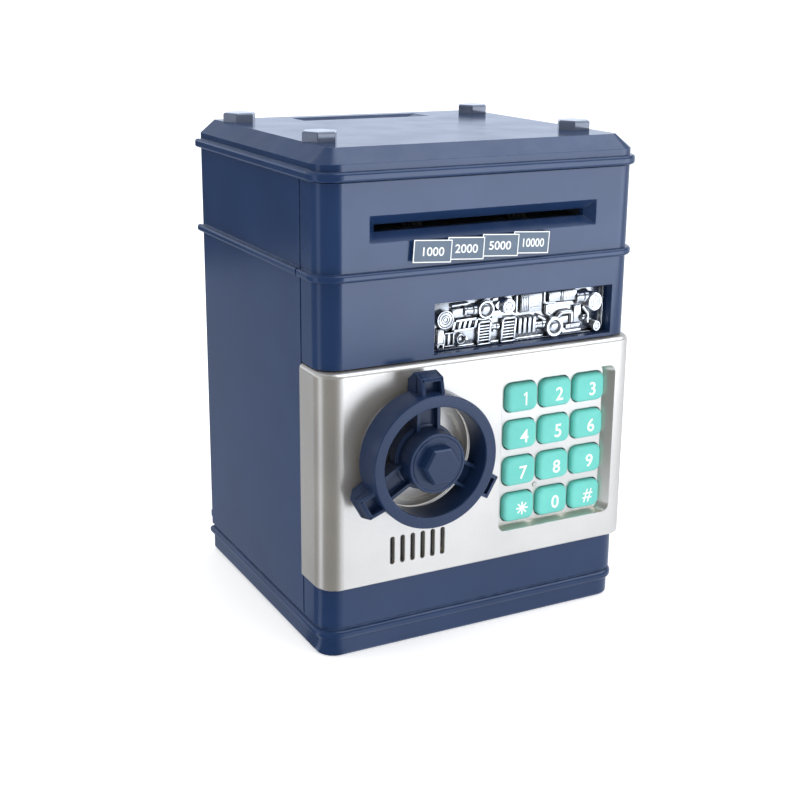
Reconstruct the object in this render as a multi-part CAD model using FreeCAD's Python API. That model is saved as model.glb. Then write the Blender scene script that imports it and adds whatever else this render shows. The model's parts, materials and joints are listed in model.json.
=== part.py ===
"""Toy cash-machine savings bank: moulded case, hinged safe door with a keypad and a handwheel latch.

Units are millimetres.  +X is the viewer's right, +Y points to the back, +Z is up.
The origin is the centre of the underside.  Each piece is written to parts/NAME.step.
"""
import FreeCAD
import Part
import math
import os

Vector = FreeCAD.Vector

# ---- case ------------------------------------------------------------------------------------
BODY_W = 129.6
BODY_D = 115.2
BASE_H = 11.6
SHELL_TOP = 173.1
LID_TOP = 184.0
WALL = 2.2
CORNER_R = 8.0
SEAM_Y = -40.6
SEAM_GAP = 1.0
BEAD_OUT = 1.8
MID_BEAD = (139.2, 142.0)
REAR_BEAD = (14.5, 17.3)
LID_BEAD = (173.1, 176.5)
LID_BAND_TOP = 179.0
LID_INSET = 5.6
LID_TOP_CORNER = 3.0
PLINTH_TOP = 27.1
MID_FLOOR = 108.5

HALF_W = BODY_W / 2
FRONT_Y = -BODY_D / 2
BACK_Y = BODY_D / 2
FRAME_Y = SEAM_Y + 0.2
FRAME_T = 2.0
TONGUE_BACK = -34.0

# ---- note slot and window --------------------------------------------------------------------
NOTE_RECESS = (-46.6, 46.6, 151.8, 161.2)
NOTE_SLOT = (-43.2, 43.2, 155.0, 157.6)
NOTE_RECESS_DEPTH = 3.6
WINDOW = (-20.9, 55.6, 109.7, 128.4)
WINDOW_DEPTH = 5.0

# ---- door ------------------------------------------------------------------------------------
DOOR_PROUD = 3.0
DOOR_SIDE_PROUD = 1.0
DOOR_BOTTOM = 27.5
DOOR_TOP = 108.1
DOOR_BACK = -41.1
DOOR_FRONT = FRONT_Y - DOOR_PROUD
DOOR_HALF = HALF_W + DOOR_SIDE_PROUD
DOOR_INNER = DOOR_FRONT + WALL
HINGE_R = 4.6
HINGE_X = DOOR_HALF - HINGE_R
HINGE_Y = -45.6
HINGE_PIN_R = 1.5
RUNNING = 0.06
DOORWAY = (-54.0, 54.0, 31.0, 104.5)
DOOR_SCREWS = ((-57.0, 34.5), (-57.0, 101.5), (49.0, 33.2), (49.0, 102.6))
LINER_SEAT = -42.5
SPEAKER = (-28.2, 44.6)
SLOT_COUNT = 6
SLOT_FIRST_X = -38.5
SLOT_PITCH = 4.15
SLOT_W = 1.8
SLOT_Z = (34.1, 44.8)

# ---- keypad ----------------------------------------------------------------------------------
KEY_COLUMNS = (16.5, 31.6, 46.7)
KEY_ROWS = (89.3, 74.7, 60.3, 45.9)
KEY_NAMES = (("1", "2", "3"), ("4", "5", "6"), ("7", "8", "9"), ("star", "0", "hash"))
KEY_W = 13.4
KEY_H = 10.9
KEY_R = 2.8
KEY_GAP = 0.4
KEY_TRAVEL = 1.2
KEY_FRONT = DOOR_FRONT + 1.5
KEYPAD = (6.4, 57.0, 38.0, 97.6)
KEYPAD_R = 3.0
KEYPAD_DRAFT = (0.7, 3.1, 0.9, 0.7)
KEYPAD_FLOOR = DOOR_FRONT + 3.9
KEYPAD_FLOOR_T = 1.6
FLANGE_T = 1.0
FLANGE_OUT = 0.7
LED_POS = (24.4, 53.1)
LED_R = 1.0

# ---- handwheel and latch ---------------------------------------------------------------------
WHEEL_X = -29.2
WHEEL_Z = 76.3
RING_OUT = 24.3
RING_IN = 20.1
RING_BACK = DOOR_FRONT - 3.0
RING_FRONT = DOOR_FRONT - 15.0
HUB_R = 10.9
HUB_FRONT = RING_FRONT - 0.8
HUB_FOOT_R = 12.2
HUB_FOOT_H = 4.0
LUG_ANGLES = (90.0, 210.0, 330.0)
LUG_W = 8.8
LUG_OUTLINE = ((22.5, 1.0), (27.6, 1.0), (31.1, 5.8), (29.7, 10.9), (22.5, 12.8))
LUG_WALL = 1.3
LUG_POCKET_FLOOR = 8.4
SPOKE_W = 9.4
SHAFT_R = 3.0
CAP_FLATS = 12.6
CAP_H = 4.2
DIAL_R = 21.0
PINION_TEETH = 12
PINION_MODULE = 1.0
LATCH_TURN = 60.0
LATCH_Y = (-37.6, -34.9)
HOUSING = (-51.5, -12.0, 37.0, 86.0)
HOUSING_BACK = -32.6
COVER_T = 1.5
COVER_POINTS = ((-48.6, 40.0), (-15.0, 40.0), (-48.6, 83.0), (-15.0, 83.0))
PLUNGER_X = -38.0
PLUNGER_Y = -36.6
PLUNGER_R = 1.5

# ---- note feeder -----------------------------------------------------------------------------
FEED_Y = -38.0
FEED_Z = 150.15
FEED_R = 6.0
PINCH_R = 4.0
PINCH_Z = 160.5
FEED_SHAFT_R = 1.5
PINCH_SHAFT_R = 1.2
ROLLER_X = 22.0
ROLLER_W = 8.0
GEAR_MODULE = 0.8
GEAR_TEETH = 28
MOTOR_TEETH = 12
CHEEK_X = 46.0

# ---- lid and coin slot -----------------------------------------------------------------------
BOLT_POINTS = ((-53.0, -31.5), (53.0, -31.5), (-53.2, 44.5), (53.2, 44.5))
BOLT_FLATS = 11.6
BOLT_H = 3.6
COIN_SLOT = (-20.0, 20.0, 41.5, 44.5)
COIN_RECESS = (-28.5, 28.5, 37.5, 50.5)
COIN_RECESS_DEPTH = 1.0

# ---- batteries -------------------------------------------------------------------------------
CELL_R = 7.1
CELL_L = 49.5
CELL_PITCH = 15.0
CELL_Z = 10.2
WELL_Y = 28.0
BATTERY_HALF_X = 29.0
BATTERY_HALF_Y = 23.4
BATTERY_ROOF = 18.8

# ---- case screws: places, and the posts that take them ---------------------------------------
BASE_SCREWS = ((-54.5, -48.0), (54.5, -48.0), (-54.0, 44.5), (54.0, 44.5))
FRAME_SCREWS = ((-57.4, 42.0), (57.4, 42.0), (-57.4, 92.0), (57.4, 92.0))
COVER_SCREWS = ((-33.5, WELL_Y), (33.5, WELL_Y))
FRAME_POST = 8.0
REAR_POST_TOP = 22.0
LID_POST_BOTTOM = 163.2


# ---- helpers ---------------------------------------------------------------------------------
def block(x0, x1, y0, y1, z0, z1):
    """Box between two corners."""
    return Part.makeBox(x1 - x0, y1 - y0, z1 - z0, Vector(x0, y0, z0))


def rod(start, axis, radius, length):
    """Cylinder from a start point along an axis."""
    return Part.makeCylinder(radius, length, Vector(*start), Vector(*axis))


def tube(start, axis, outer, inner, length):
    """Hollow cylinder."""
    return rod(start, axis, outer, length).cut(rod(start, axis, inner, length))


def fuse(shapes):
    """Union of a list of solids with seams between flat neighbours removed."""
    whole = shapes[0]
    for shape in shapes[1:]:
        whole = whole.fuse(shape)
    return whole.removeSplitter()


def cut_all(body, tools):
    """Body less every tool."""
    for tool in tools:
        body = body.cut(tool)
    return body


def plan_wire(grow, radius, z, back=None):
    """Case outline at height z, grown outward, with round front corners and a square back."""
    half = HALF_W + grow
    front = FRONT_Y - grow
    rear = BACK_Y + grow if back is None else back
    corner = math.sqrt(0.5) * radius
    left_mid = Vector(-half + radius - corner, front + radius - corner, z)
    right_mid = Vector(half - radius + corner, front + radius - corner, z)
    left_side = Vector(-half, front + radius, z)
    left_front = Vector(-half + radius, front, z)
    right_front = Vector(half - radius, front, z)
    right_side = Vector(half, front + radius, z)
    left_back = Vector(-half, rear, z)
    right_back = Vector(half, rear, z)
    edges = [
        Part.makeLine(left_back, left_side),
        Part.Arc(left_side, left_mid, left_front).toShape(),
        Part.makeLine(left_front, right_front),
        Part.Arc(right_front, right_mid, right_side).toShape(),
        Part.makeLine(right_side, right_back),
        Part.makeLine(right_back, left_back),
    ]
    return Part.Wire(edges)


def plan_prism(grow, z0, z1, back=None):
    """Prism of the case outline."""
    wire = plan_wire(grow, CORNER_R + grow, z0, back)
    return Part.Face(wire).extrude(Vector(0, 0, z1 - z0))


def round_prism(x0, x1, z0, z1, radius, y0, y1):
    """Prism along Y with a round-cornered rectangle as its section."""
    shape = block(x0, x1, y0, y1, z0, z1)
    upright = [e for e in shape.Edges if abs(e.tangentAt(e.FirstParameter).y) > 0.99]
    return shape.makeFillet(radius, upright)


def front_loft(outer, inner, y0, y1):
    """Solid between two rectangles (x0, x1, z0, z1) lying at y0 and y1."""
    wires = []
    for (x0, x1, z0, z1), y in ((outer, y0), (inner, y1)):
        corners = [Vector(x0, y, z0), Vector(x1, y, z0), Vector(x1, y, z1), Vector(x0, y, z1)]
        wires.append(Part.makePolygon(corners + corners[:1]))
    return Part.makeLoft(wires, True, True)


def round_wire(x0, x1, z0, z1, radius, y):
    """Closed round-cornered rectangle lying at y."""
    diagonal = math.sqrt(0.5) * radius
    edges = []
    last = Vector(x1, y, z0 + radius)
    for cx, cz, sx, sz in ((x1, z1, 1, 1), (x0, z1, -1, 1), (x0, z0, -1, -1), (x1, z0, 1, -1)):
        centre = Vector(cx - sx * radius, y, cz - sz * radius)
        side = centre + Vector(sx * radius, 0, 0)
        end = centre + Vector(0, 0, sz * radius)
        middle = centre + Vector(sx * diagonal, 0, sz * diagonal)
        start, stop = (side, end) if sx * sz > 0 else (end, side)
        edges += [Part.makeLine(last, start), Part.Arc(start, middle, stop).toShape()]
        last = stop
    edges[0] = Part.makeLine(last, edges[1].valueAt(edges[1].FirstParameter))
    return Part.Wire(edges)


def round_loft(outer, inner, radii, y0, y1):
    """Solid between two round-cornered rectangles (x0, x1, z0, z1) lying at y0 and y1."""
    wires = [round_wire(*outer, radii[0], y0), round_wire(*inner, radii[1], y1)]
    return Part.makeLoft(wires, True, True)


def hexagon(x, y, z, flats, height):
    """Upright hexagonal prism with two corners on the X axis."""
    reach = flats / math.sqrt(3)
    corners = []
    for step in range(7):
        angle = math.radians(60 * step)
        corners.append(Vector(x + reach * math.cos(angle), y + reach * math.sin(angle), z))
    return Part.Face(Part.makePolygon(corners)).extrude(Vector(0, 0, height))


def edges_at(shape, axis, value, tol=0.02):
    """Edges that lie wholly in the plane axis = value."""
    found = []
    for edge in shape.Edges:
        box = edge.BoundBox
        low = getattr(box, axis + "Min")
        high = getattr(box, axis + "Max")
        if abs(low - value) < tol and abs(high - value) < tol:
            found.append(edge)
    return found


def involute_gear(teeth, module, addendum, width):
    """Spur gear on the Z axis from z = 0, with a tooth centred on +X and a little backlash."""
    pressure = math.radians(20)
    pitch = teeth * module / 2
    base = pitch * math.cos(pressure)
    tip = pitch + addendum
    root = pitch - 1.2 * module
    half_tooth = math.pi / (2 * teeth) - 0.10 / pitch
    involute_pitch = math.tan(pressure) - pressure
    start = max(base, root + 0.05)
    flank = []
    for step in range(5):
        radius = start + (tip - start) * step / 4
        angle = math.acos(min(1.0, base / radius))
        offset = half_tooth + involute_pitch - (math.tan(angle) - angle)
        flank.append((radius, offset))
    points = []
    for tooth in range(teeth):
        centre = 2 * math.pi * tooth / teeth
        points.append((root, centre - flank[0][1] - 0.02))
        points += [(radius, centre - offset) for radius, offset in flank]
        points += [(radius, centre + offset) for radius, offset in reversed(flank)]
        points.append((root, centre + flank[0][1] + 0.02))
    corners = [Vector(r * math.cos(a), r * math.sin(a), 0) for r, a in points]
    face = Part.Face(Part.makePolygon(corners + corners[:1]))
    return face.extrude(Vector(0, 0, width))


def along_x(shape, x, y, z, turn=0.0):
    """Stand a Z-axis shape on the X axis at a point, first turned about its own axis."""
    shape = shape.copy()
    shape.rotate(Vector(0, 0, 0), Vector(0, 0, 1), turn)
    shape.rotate(Vector(0, 0, 0), Vector(0, 1, 0), 90)
    shape.translate(Vector(x, y, z))
    return shape


def along_y(shape, x, y, z, turn=0.0):
    """Stand a Z-axis shape on the Y axis (its +X stays +X) at a point."""
    shape = shape.copy()
    shape.rotate(Vector(0, 0, 0), Vector(0, 0, 1), turn)
    shape.rotate(Vector(0, 0, 0), Vector(1, 0, 0), -90)
    shape.translate(Vector(x, y, z))
    return shape


def screw(start, axis, length, radius=1.1, head=2.2, head_h=1.4):
    """Pan-head self-tapping screw; start is under the head and axis runs down the shank."""
    direction = Vector(*axis)
    origin = Vector(*start)
    shank = Part.makeCylinder(radius, length, origin, direction)
    cap = Part.makeCylinder(head, head_h, origin - direction * head_h, direction)
    slot = Part.makeCylinder(0.8, 0.7, origin - direction * head_h, direction)
    return shank.fuse(cap).cut(slot)


# ---- case pieces -----------------------------------------------------------------------------

def make_base():
    """Bottom tray with its bead, battery well and screw posts."""
    outer = plan_prism(-0.6, 0.0, BASE_H - 0.4)
    outer = outer.makeFillet(1.2, edges_at(outer, "Z", 0.0))
    bead = plan_prism(0.7, 6.8, 10.6)
    bead = bead.makeFillet(1.6, edges_at(bead, "Z", 6.8) + edges_at(bead, "Z", 10.6))
    shell = outer.fuse(bead)
    shell = shell.cut(plan_prism(-0.6 - 2.4, 2.2, BASE_H))
    lip = plan_prism(-2.6, 9.0, 15.0).cut(plan_prism(-4.2, 8.9, 15.1))
    well = block(-BATTERY_HALF_X - 1.6, BATTERY_HALF_X + 1.6, WELL_Y - BATTERY_HALF_Y - 1.6,
                 WELL_Y + BATTERY_HALF_Y + 1.6, 1.0, BATTERY_ROOF + 1.6)
    bosses = [rod((x, y, 1.0), (0, 0, 1), 3.6, 9.0) for x, y in BASE_SCREWS]
    bosses += [rod((x, y, 1.0), (0, 0, 1), 3.2, 11.0) for x, y in COVER_SCREWS]
    body = fuse([shell, lip, well] + bosses)
    cuts = [block(-BATTERY_HALF_X, BATTERY_HALF_X, WELL_Y - BATTERY_HALF_Y, WELL_Y + BATTERY_HALF_Y,
                  -1.0, BATTERY_ROOF)]
    cuts += [rod((x, y, -1.0), (0, 0, 1), 2.5, 4.5) for x, y in BASE_SCREWS]
    cuts += [rod((x, y, -1.0), (0, 0, 1), 1.25, 13.0) for x, y in BASE_SCREWS]
    cuts += [block(-38.6, 38.6, WELL_Y - 5.4, WELL_Y + 5.4, -1.0, 2.2)]
    cuts += [rod((x, y, -1.0), (0, 0, 1), 1.2, 12.0) for x, y in COVER_SCREWS]
    return cut_all(body, cuts)


def make_battery_cover():
    """Flush cover plate under the battery well, with an ear for a screw at each end."""
    plate = block(-BATTERY_HALF_X + 0.35, BATTERY_HALF_X - 0.35, WELL_Y - BATTERY_HALF_Y + 0.35,
                  WELL_Y + BATTERY_HALF_Y - 0.35, 0.3, 2.1)
    ears = block(-38.2, 38.2, WELL_Y - 5.0, WELL_Y + 5.0, 0.3, 1.9)
    body = fuse([plate, ears])
    cuts = [rod((x, y, -1.0), (0, 0, 1), 1.3, 5.0) for x, y in COVER_SCREWS]
    cuts += [rod((x, y, -1.0), (0, 0, 1), 2.3, 2.1) for x, y in COVER_SCREWS]
    cuts += [block(-6.0 + 4.0 * k, -4.4 + 4.0 * k, WELL_Y - 16.0, WELL_Y - 9.0, 0.0, 0.7) for k in range(4)]
    return cut_all(body, cuts)


def make_batteries():
    """Three AA cells lying side by side."""
    cells = []
    for row in (-1, 0, 1):
        way = 1 if row != 0 else -1
        y = WELL_Y + row * CELL_PITCH
        can = rod((-way * CELL_L / 2, y, CELL_Z), (way, 0, 0), CELL_R, CELL_L - 1.2)
        tip = rod((way * (CELL_L / 2 - 1.2), y, CELL_Z), (way, 0, 0), 2.7, 1.2)
        cells.append(can.fuse(tip))
    return Part.makeCompound(cells)


def make_battery_contacts():
    """Sprung steel plates at both ends of the battery well."""
    plates = []
    for side in (-1, 1):
        for row in (-1, 0, 1):
            way = 1 if row != 0 else -1
            x = side * (BATTERY_HALF_X - 0.3)
            y = WELL_Y + row * CELL_PITCH
            plate = block(x - 0.3, x + 0.3, y - 5.5, y + 5.5, 4.5, 16.5)
            reach = BATTERY_HALF_X - 0.6 - CELL_L / 2 - 0.1
            radius = 1.6 if side == way else 3.6
            pad = rod((side * (BATTERY_HALF_X - 0.6), y, CELL_Z), (-side, 0, 0), radius, reach)
            plates.append(plate.fuse(pad))
    return Part.makeCompound(plates)


def make_money_floor():
    """Plate over the battery well that the money lands on."""
    plate = block(-59.8, 59.8, -38.0, 54.8, 22.4, 24.4)
    skirt = block(-59.8, 59.8, -38.0, 54.8, BATTERY_ROOF + 1.6, 22.4)
    skirt = skirt.cut(block(-57.8, 57.8, -36.0, 52.8, 10.0, 22.4))
    legs = []
    for x in (-24.0, 24.0):
        legs.append(block(x - 1.2, x + 1.2, WELL_Y - 20.0, WELL_Y + 20.0, BATTERY_ROOF + 1.6, 22.4))
    body = fuse([plate, skirt] + legs)
    notches = [block(x - 7.0, x + 7.0, y - 5.0, y + 5.0, 10.0, 22.4) for x, y in BASE_SCREWS[2:]]
    return cut_all(body, notches)


def make_front_shell():
    """Front moulding: plinth, window band, note panel and the door frame behind the door."""
    skin = plan_prism(0.0, BASE_H, SHELL_TOP - 0.3)
    bead = plan_prism(BEAD_OUT, *MID_BEAD)
    bead = bead.makeFillet(0.9, edges_at(bead, "Z", MID_BEAD[0]) + edges_at(bead, "Z", MID_BEAD[1]))
    skin = skin.fuse(bead)
    skin = skin.cut(plan_prism(-WALL, BASE_H - 1, SHELL_TOP + 1))
    wide = 100.0
    skin = skin.cut(block(-wide, wide, SEAM_Y - SEAM_GAP / 2, wide, 0, 200))
    skin = skin.cut(block(-wide, wide, -wide, wide, PLINTH_TOP, MID_FLOOR))
    inside = plan_prism(-WALL + 0.1, BASE_H, SHELL_TOP).cut(block(-wide, wide, DOOR_BACK, wide, 0, 200))
    shelf_low = inside.common(block(-wide, wide, -wide, wide, PLINTH_TOP - 2.0, PLINTH_TOP))
    shelf_high = inside.common(block(-wide, wide, -wide, wide, MID_FLOOR, MID_FLOOR + 1.2))
    tongues = []
    for side in (-1, 1):
        x0, x1 = sorted((side * 60.2, side * 62.2))
        tongues.append(block(x0, x1, FRAME_Y, TONGUE_BACK, 15.4, 168.0))
        x0, x1 = sorted((side * 60.2, side * 62.7))
        tongues.append(block(x0, x1, -44.0, FRAME_Y, MID_FLOOR, 168.0))
        tongues.append(block(x0, x1, -44.0, FRAME_Y, 15.4, PLINTH_TOP))
    frame = block(-62.2, 62.2, FRAME_Y, FRAME_Y + FRAME_T, 15.4, 112.5)
    frame = frame.cut(block(DOORWAY[0], DOORWAY[1], -wide, wide, DOORWAY[2], DOORWAY[3]))
    webs = [
        block(-62.2, 62.2, -44.0, FRAME_Y, PLINTH_TOP - 2.0, PLINTH_TOP),
        block(-62.2, 62.2, -44.0, FRAME_Y, MID_FLOOR, MID_FLOOR + 1.2),
    ]
    hinge_bosses = [
        rod((HINGE_X, HINGE_Y, PLINTH_TOP - 6.0), (0, 0, 1), 3.2, 5.0),
        rod((HINGE_X, HINGE_Y, MID_FLOOR + 0.5), (0, 0, 1), 3.2, 5.0),
    ]
    note_block = block(-49.0, 49.0, FRONT_Y + 1.0, FRONT_Y + 6.2, 149.6, 163.2)
    x0, x1, z0, z1 = WINDOW
    rim = block(x0 - 1.4, x1 + 1.4, FRONT_Y + 1.0, FRONT_Y + WINDOW_DEPTH, z0 - 0.6, z1 + 1.4)
    posts = [rod((x, y, BASE_H + 0.1), (0, 0, 1), 3.6, 14.0) for x, y in BASE_SCREWS[:2]]
    board_posts = [rod((x, FRONT_Y + 1.0, z), (0, 1, 0), 2.2, 3.2) for x, z in ((-55, 117), (-28, 134))]
    body = fuse([skin, shelf_low, shelf_high, frame, note_block, rim]
                + tongues + webs + hinge_bosses + posts + board_posts)
    slot = NOTE_SLOT
    hinge_hole = HINGE_PIN_R + RUNNING
    cuts = [
        front_loft(NOTE_RECESS, slot, FRONT_Y, FRONT_Y + NOTE_RECESS_DEPTH),
        block(NOTE_RECESS[0], NOTE_RECESS[1], FRONT_Y - 3, FRONT_Y, NOTE_RECESS[2], NOTE_RECESS[3]),
        block(slot[0], slot[1], FRONT_Y, FRONT_Y + 10, slot[2], slot[3]),
        block(x0, x1, FRONT_Y - 3, FRONT_Y + 10, z0, z1),
        rod((HINGE_X, HINGE_Y, PLINTH_TOP - 5.0), (0, 0, 1), hinge_hole, 6.0),
        rod((HINGE_X, HINGE_Y, MID_FLOOR - 1.0), (0, 0, 1), hinge_hole, 5.4),
    ]
    cuts += [rod((x, y, BASE_H), (0, 0, 1), 1.1, 10.0) for x, y in BASE_SCREWS[:2]]
    cuts += [rod((x, FRAME_Y + 0.4, z), (0, 1, 0), 1.1, 5.0) for x, z in FRAME_SCREWS]
    return cut_all(body, cuts)


def make_rear_shell():
    """Rear moulding: both side walls and the back, with its beads and screw posts."""
    skin = plan_prism(0.0, BASE_H, SHELL_TOP - 0.3)
    bead = plan_prism(BEAD_OUT, *MID_BEAD)
    bead = bead.makeFillet(0.9, edges_at(bead, "Z", MID_BEAD[0]) + edges_at(bead, "Z", MID_BEAD[1]))
    low_bead = block(-HALF_W, HALF_W, BACK_Y - 1, BACK_Y + BEAD_OUT, *REAR_BEAD)
    low_bead = low_bead.makeFillet(0.9, edges_at(low_bead, "Y", BACK_Y + BEAD_OUT))
    skin = skin.fuse(bead).fuse(low_bead)
    skin = skin.cut(plan_prism(-WALL, BASE_H - 1, SHELL_TOP + 1))
    front_cut = SEAM_Y + SEAM_GAP / 2
    skin = skin.cut(block(-100, 100, -100, front_cut, 0, 200))
    posts = []
    for x, y in BOLT_POINTS:
        side = 1 if x > 0 else -1
        x0, x1 = sorted((x, side * (HALF_W - 1)))
        posts.append(rod((x, y, LID_POST_BOTTOM), (0, 0, 1), 3.8, SHELL_TOP - 0.5 - LID_POST_BOTTOM))
        posts.append(block(x0, x1, y - 0.9, y + 0.9, LID_POST_BOTTOM, 169.0))
    for x, y in BASE_SCREWS[2:]:
        side = 1 if x > 0 else -1
        x0, x1 = sorted((x, side * (HALF_W - 1)))
        posts.append(rod((x, y, BASE_H - 1.5), (0, 0, 1), 3.6, REAR_POST_TOP - BASE_H + 1.5))
        posts.append(block(x0, x1, y - 0.9, y + 0.9, 15.4, REAR_POST_TOP))
    for x, z in FRAME_SCREWS:
        side = 1 if x > 0 else -1
        x0, x1 = sorted((x, side * (HALF_W - 1)))
        posts.append(rod((x, FRAME_Y + FRAME_T, z), (0, 1, 0), 2.6, FRAME_POST))
        posts.append(block(x0, x1, TONGUE_BACK + 0.4, FRAME_Y + FRAME_T + FRAME_POST, z - 1.0, z + 1.0))
    ribs = [block(x - 0.8, x + 0.8, BACK_Y - 5.0, BACK_Y - 1, 30.0, 168.0) for x in (-22.0, 22.0)]
    body = fuse([skin] + posts + ribs)
    cuts = [rod((x, y, LID_POST_BOTTOM + 1), (0, 0, 1), 1.5, 20.0) for x, y in BOLT_POINTS]
    cuts += [rod((x, y, BASE_H - 3), (0, 0, 1), 1.1, 16.0) for x, y in BASE_SCREWS[2:]]
    cuts += [rod((x, FRAME_Y, z), (0, 1, 0), 1.3, 14.0) for x, z in FRAME_SCREWS]
    return cut_all(body, cuts)


def make_base_screws():
    """Four screws that hold the base to both shells."""
    return Part.makeCompound([screw((x, y, 3.5), (0, 0, 1), 14.0) for x, y in BASE_SCREWS])


def make_frame_screws():
    """Four screws that hold the rear shell to the door frame."""
    head = FRAME_Y + FRAME_T + FRAME_POST
    return Part.makeCompound([screw((x, head, z), (0, -1, 0), FRAME_POST + 1.4) for x, z in FRAME_SCREWS])


def make_cover_screws():
    """Two captive screws in the ears of the battery cover."""
    return Part.makeCompound([screw((x, y, 1.1), (0, 0, 1), 8.5, 1.12, 2.2, 0.7) for x, y in COVER_SCREWS])


def make_lid():
    """Lid with a rounded bead, a bevel, the coin recess and a skirt that locates in the shells."""
    bead = plan_prism(BEAD_OUT, *LID_BEAD)
    bead = bead.makeFillet(1.0, edges_at(bead, "Z", LID_BEAD[0]) + edges_at(bead, "Z", LID_BEAD[1]))
    band = plan_prism(0.0, LID_BEAD[0], LID_BAND_TOP)
    top_back = BACK_Y - 1.2
    bevel = Part.makeLoft([
        plan_wire(0.0, CORNER_R, LID_BAND_TOP),
        plan_wire(-LID_INSET, LID_TOP_CORNER, LID_TOP, top_back),
    ], True, True)
    hollow = plan_prism(-2.4, LID_BEAD[0] - 1, LID_BAND_TOP - 1)
    hollow_top = Part.makeLoft([
        plan_wire(-2.4, CORNER_R - 2.4, LID_BAND_TOP - 1),
        plan_wire(-LID_INSET - 1.8, LID_TOP_CORNER, LID_TOP - 2.6, BACK_Y - 3.6),
    ], True, True)
    skirt = plan_prism(-2.7, 170.0, LID_BAND_TOP + 0.6).cut(plan_prism(-4.2, 169.0, LID_BAND_TOP + 1))
    bosses = [rod((x, y, 173.0), (0, 0, 1), 3.8, 10.0) for x, y in BOLT_POINTS]
    body = fuse([bead, band, bevel]).cut(hollow).cut(hollow_top)
    body = fuse([body, skirt] + bosses)
    x0, x1, y0, y1 = COIN_RECESS
    floor = LID_TOP - COIN_RECESS_DEPTH
    rim = [Vector(x0, y0, LID_TOP), Vector(x1, y0, LID_TOP), Vector(x1, y1, LID_TOP), Vector(x0, y1, LID_TOP)]
    sole = [Vector(x0 + 5, y0 + 1, floor), Vector(x1 - 5, y0 + 1, floor),
            Vector(x1 - 5, y1 - 3, floor), Vector(x0 + 5, y1 - 3, floor)]
    recess = Part.makeLoft([Part.makePolygon(rim + rim[:1]), Part.makePolygon(sole + sole[:1])], True, True)
    slot = block(*COIN_SLOT, LID_TOP - 6, LID_TOP + 1)
    ends = [e for e in slot.Edges if abs(e.tangentAt(e.FirstParameter).z) > 0.99]
    slot = slot.makeFillet(1.2, ends)
    cuts = [recess, slot]
    cuts += [rod((x, y, 170.0), (0, 0, 1), 2.1, 20.0) for x, y in BOLT_POINTS]
    return cut_all(body, cuts)


def make_lid_bolts():
    """Four hex-headed bolts that hold the lid down to the rear shell's posts."""
    bolts = []
    for x, y in BOLT_POINTS:
        head = hexagon(x, y, LID_TOP, BOLT_FLATS, BOLT_H)
        head = head.makeChamfer(0.5, edges_at(head, "Z", LID_TOP + BOLT_H))
        shank = rod((x, y, 172.8), (0, 0, 1), 2.0, LID_TOP - 172.8)
        thread = rod((x, y, LID_POST_BOTTOM + 1.8), (0, 0, 1), 1.4, 171.0 - LID_POST_BOTTOM)
        bolts.append(fuse([head, shank, thread]))
    return Part.makeCompound(bolts)


def make_coin_chute():
    """Short funnel under the coin slot, hung from the lid."""
    x0, x1, y0, y1 = COIN_SLOT
    roof = LID_TOP - 2.6
    flange = block(x0 - 6, x1 + 6, y0 - 4, y1 + 4, roof - 1.4, roof)
    walls = block(x0 - 2.2, x1 + 2.2, y0 - 2.2, y1 + 2.2, roof - 14, roof)
    hole = block(x0 - 0.8, x1 + 0.8, y0 - 0.8, y1 + 0.8, roof - 20, roof + 1)
    return fuse([flange, walls]).cut(hole)


def make_decor_panel():
    """Moulded relief of pipes, drums, fins and grilles behind the window."""
    x0, x1, z0, z1 = WINDOW
    back = FRONT_Y + WINDOW_DEPTH
    plate = block(x0 - 1.2, x1 + 1.2, back, back + 1.4, z0, z1 + 1.2)
    relief = []
    drums = ((x0 + 5, z1 - 5.5, 4.3, 2.6), (x0 + 24, z1 - 4.6, 3.3, 2.2), (x0 + 34, z1 - 4.0, 3.2, 2.8),
             (x1 - 21.5, z0 + 4.8, 3.9, 3.0), (x1 - 5.4, z1 - 5.2, 4.0, 3.2), (x1 - 4.6, z0 + 3.6, 2.4, 2.2))
    for x, z, radius, height in drums:
        relief.append(rod((x, back - height, z), (0, 1, 0), radius, height + 0.5))
    grilles = ((x0 + 10.5, z0 + 7.0, 9.5, 5.0), (x0 + 21.0, z0 + 1.2, 6.4, 9.0),
               (x0 + 32.5, z0 + 1.2, 6.4, 9.0), (x0 + 42.0, z0 + 10.5, 8.5, 7.0))
    for x, z, width, height in grilles:
        relief.append(block(x, x + width, back - 1.6, back + 0.5, z, z + height))
    relief += [block(x0 + 42.0 + 2.4 * k, x0 + 43.4 + 2.4 * k, back - 2.4, back + 0.5, z0 + 3.2, z0 + 9.6)
               for k in range(4)]
    return fuse([plate] + relief)


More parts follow.
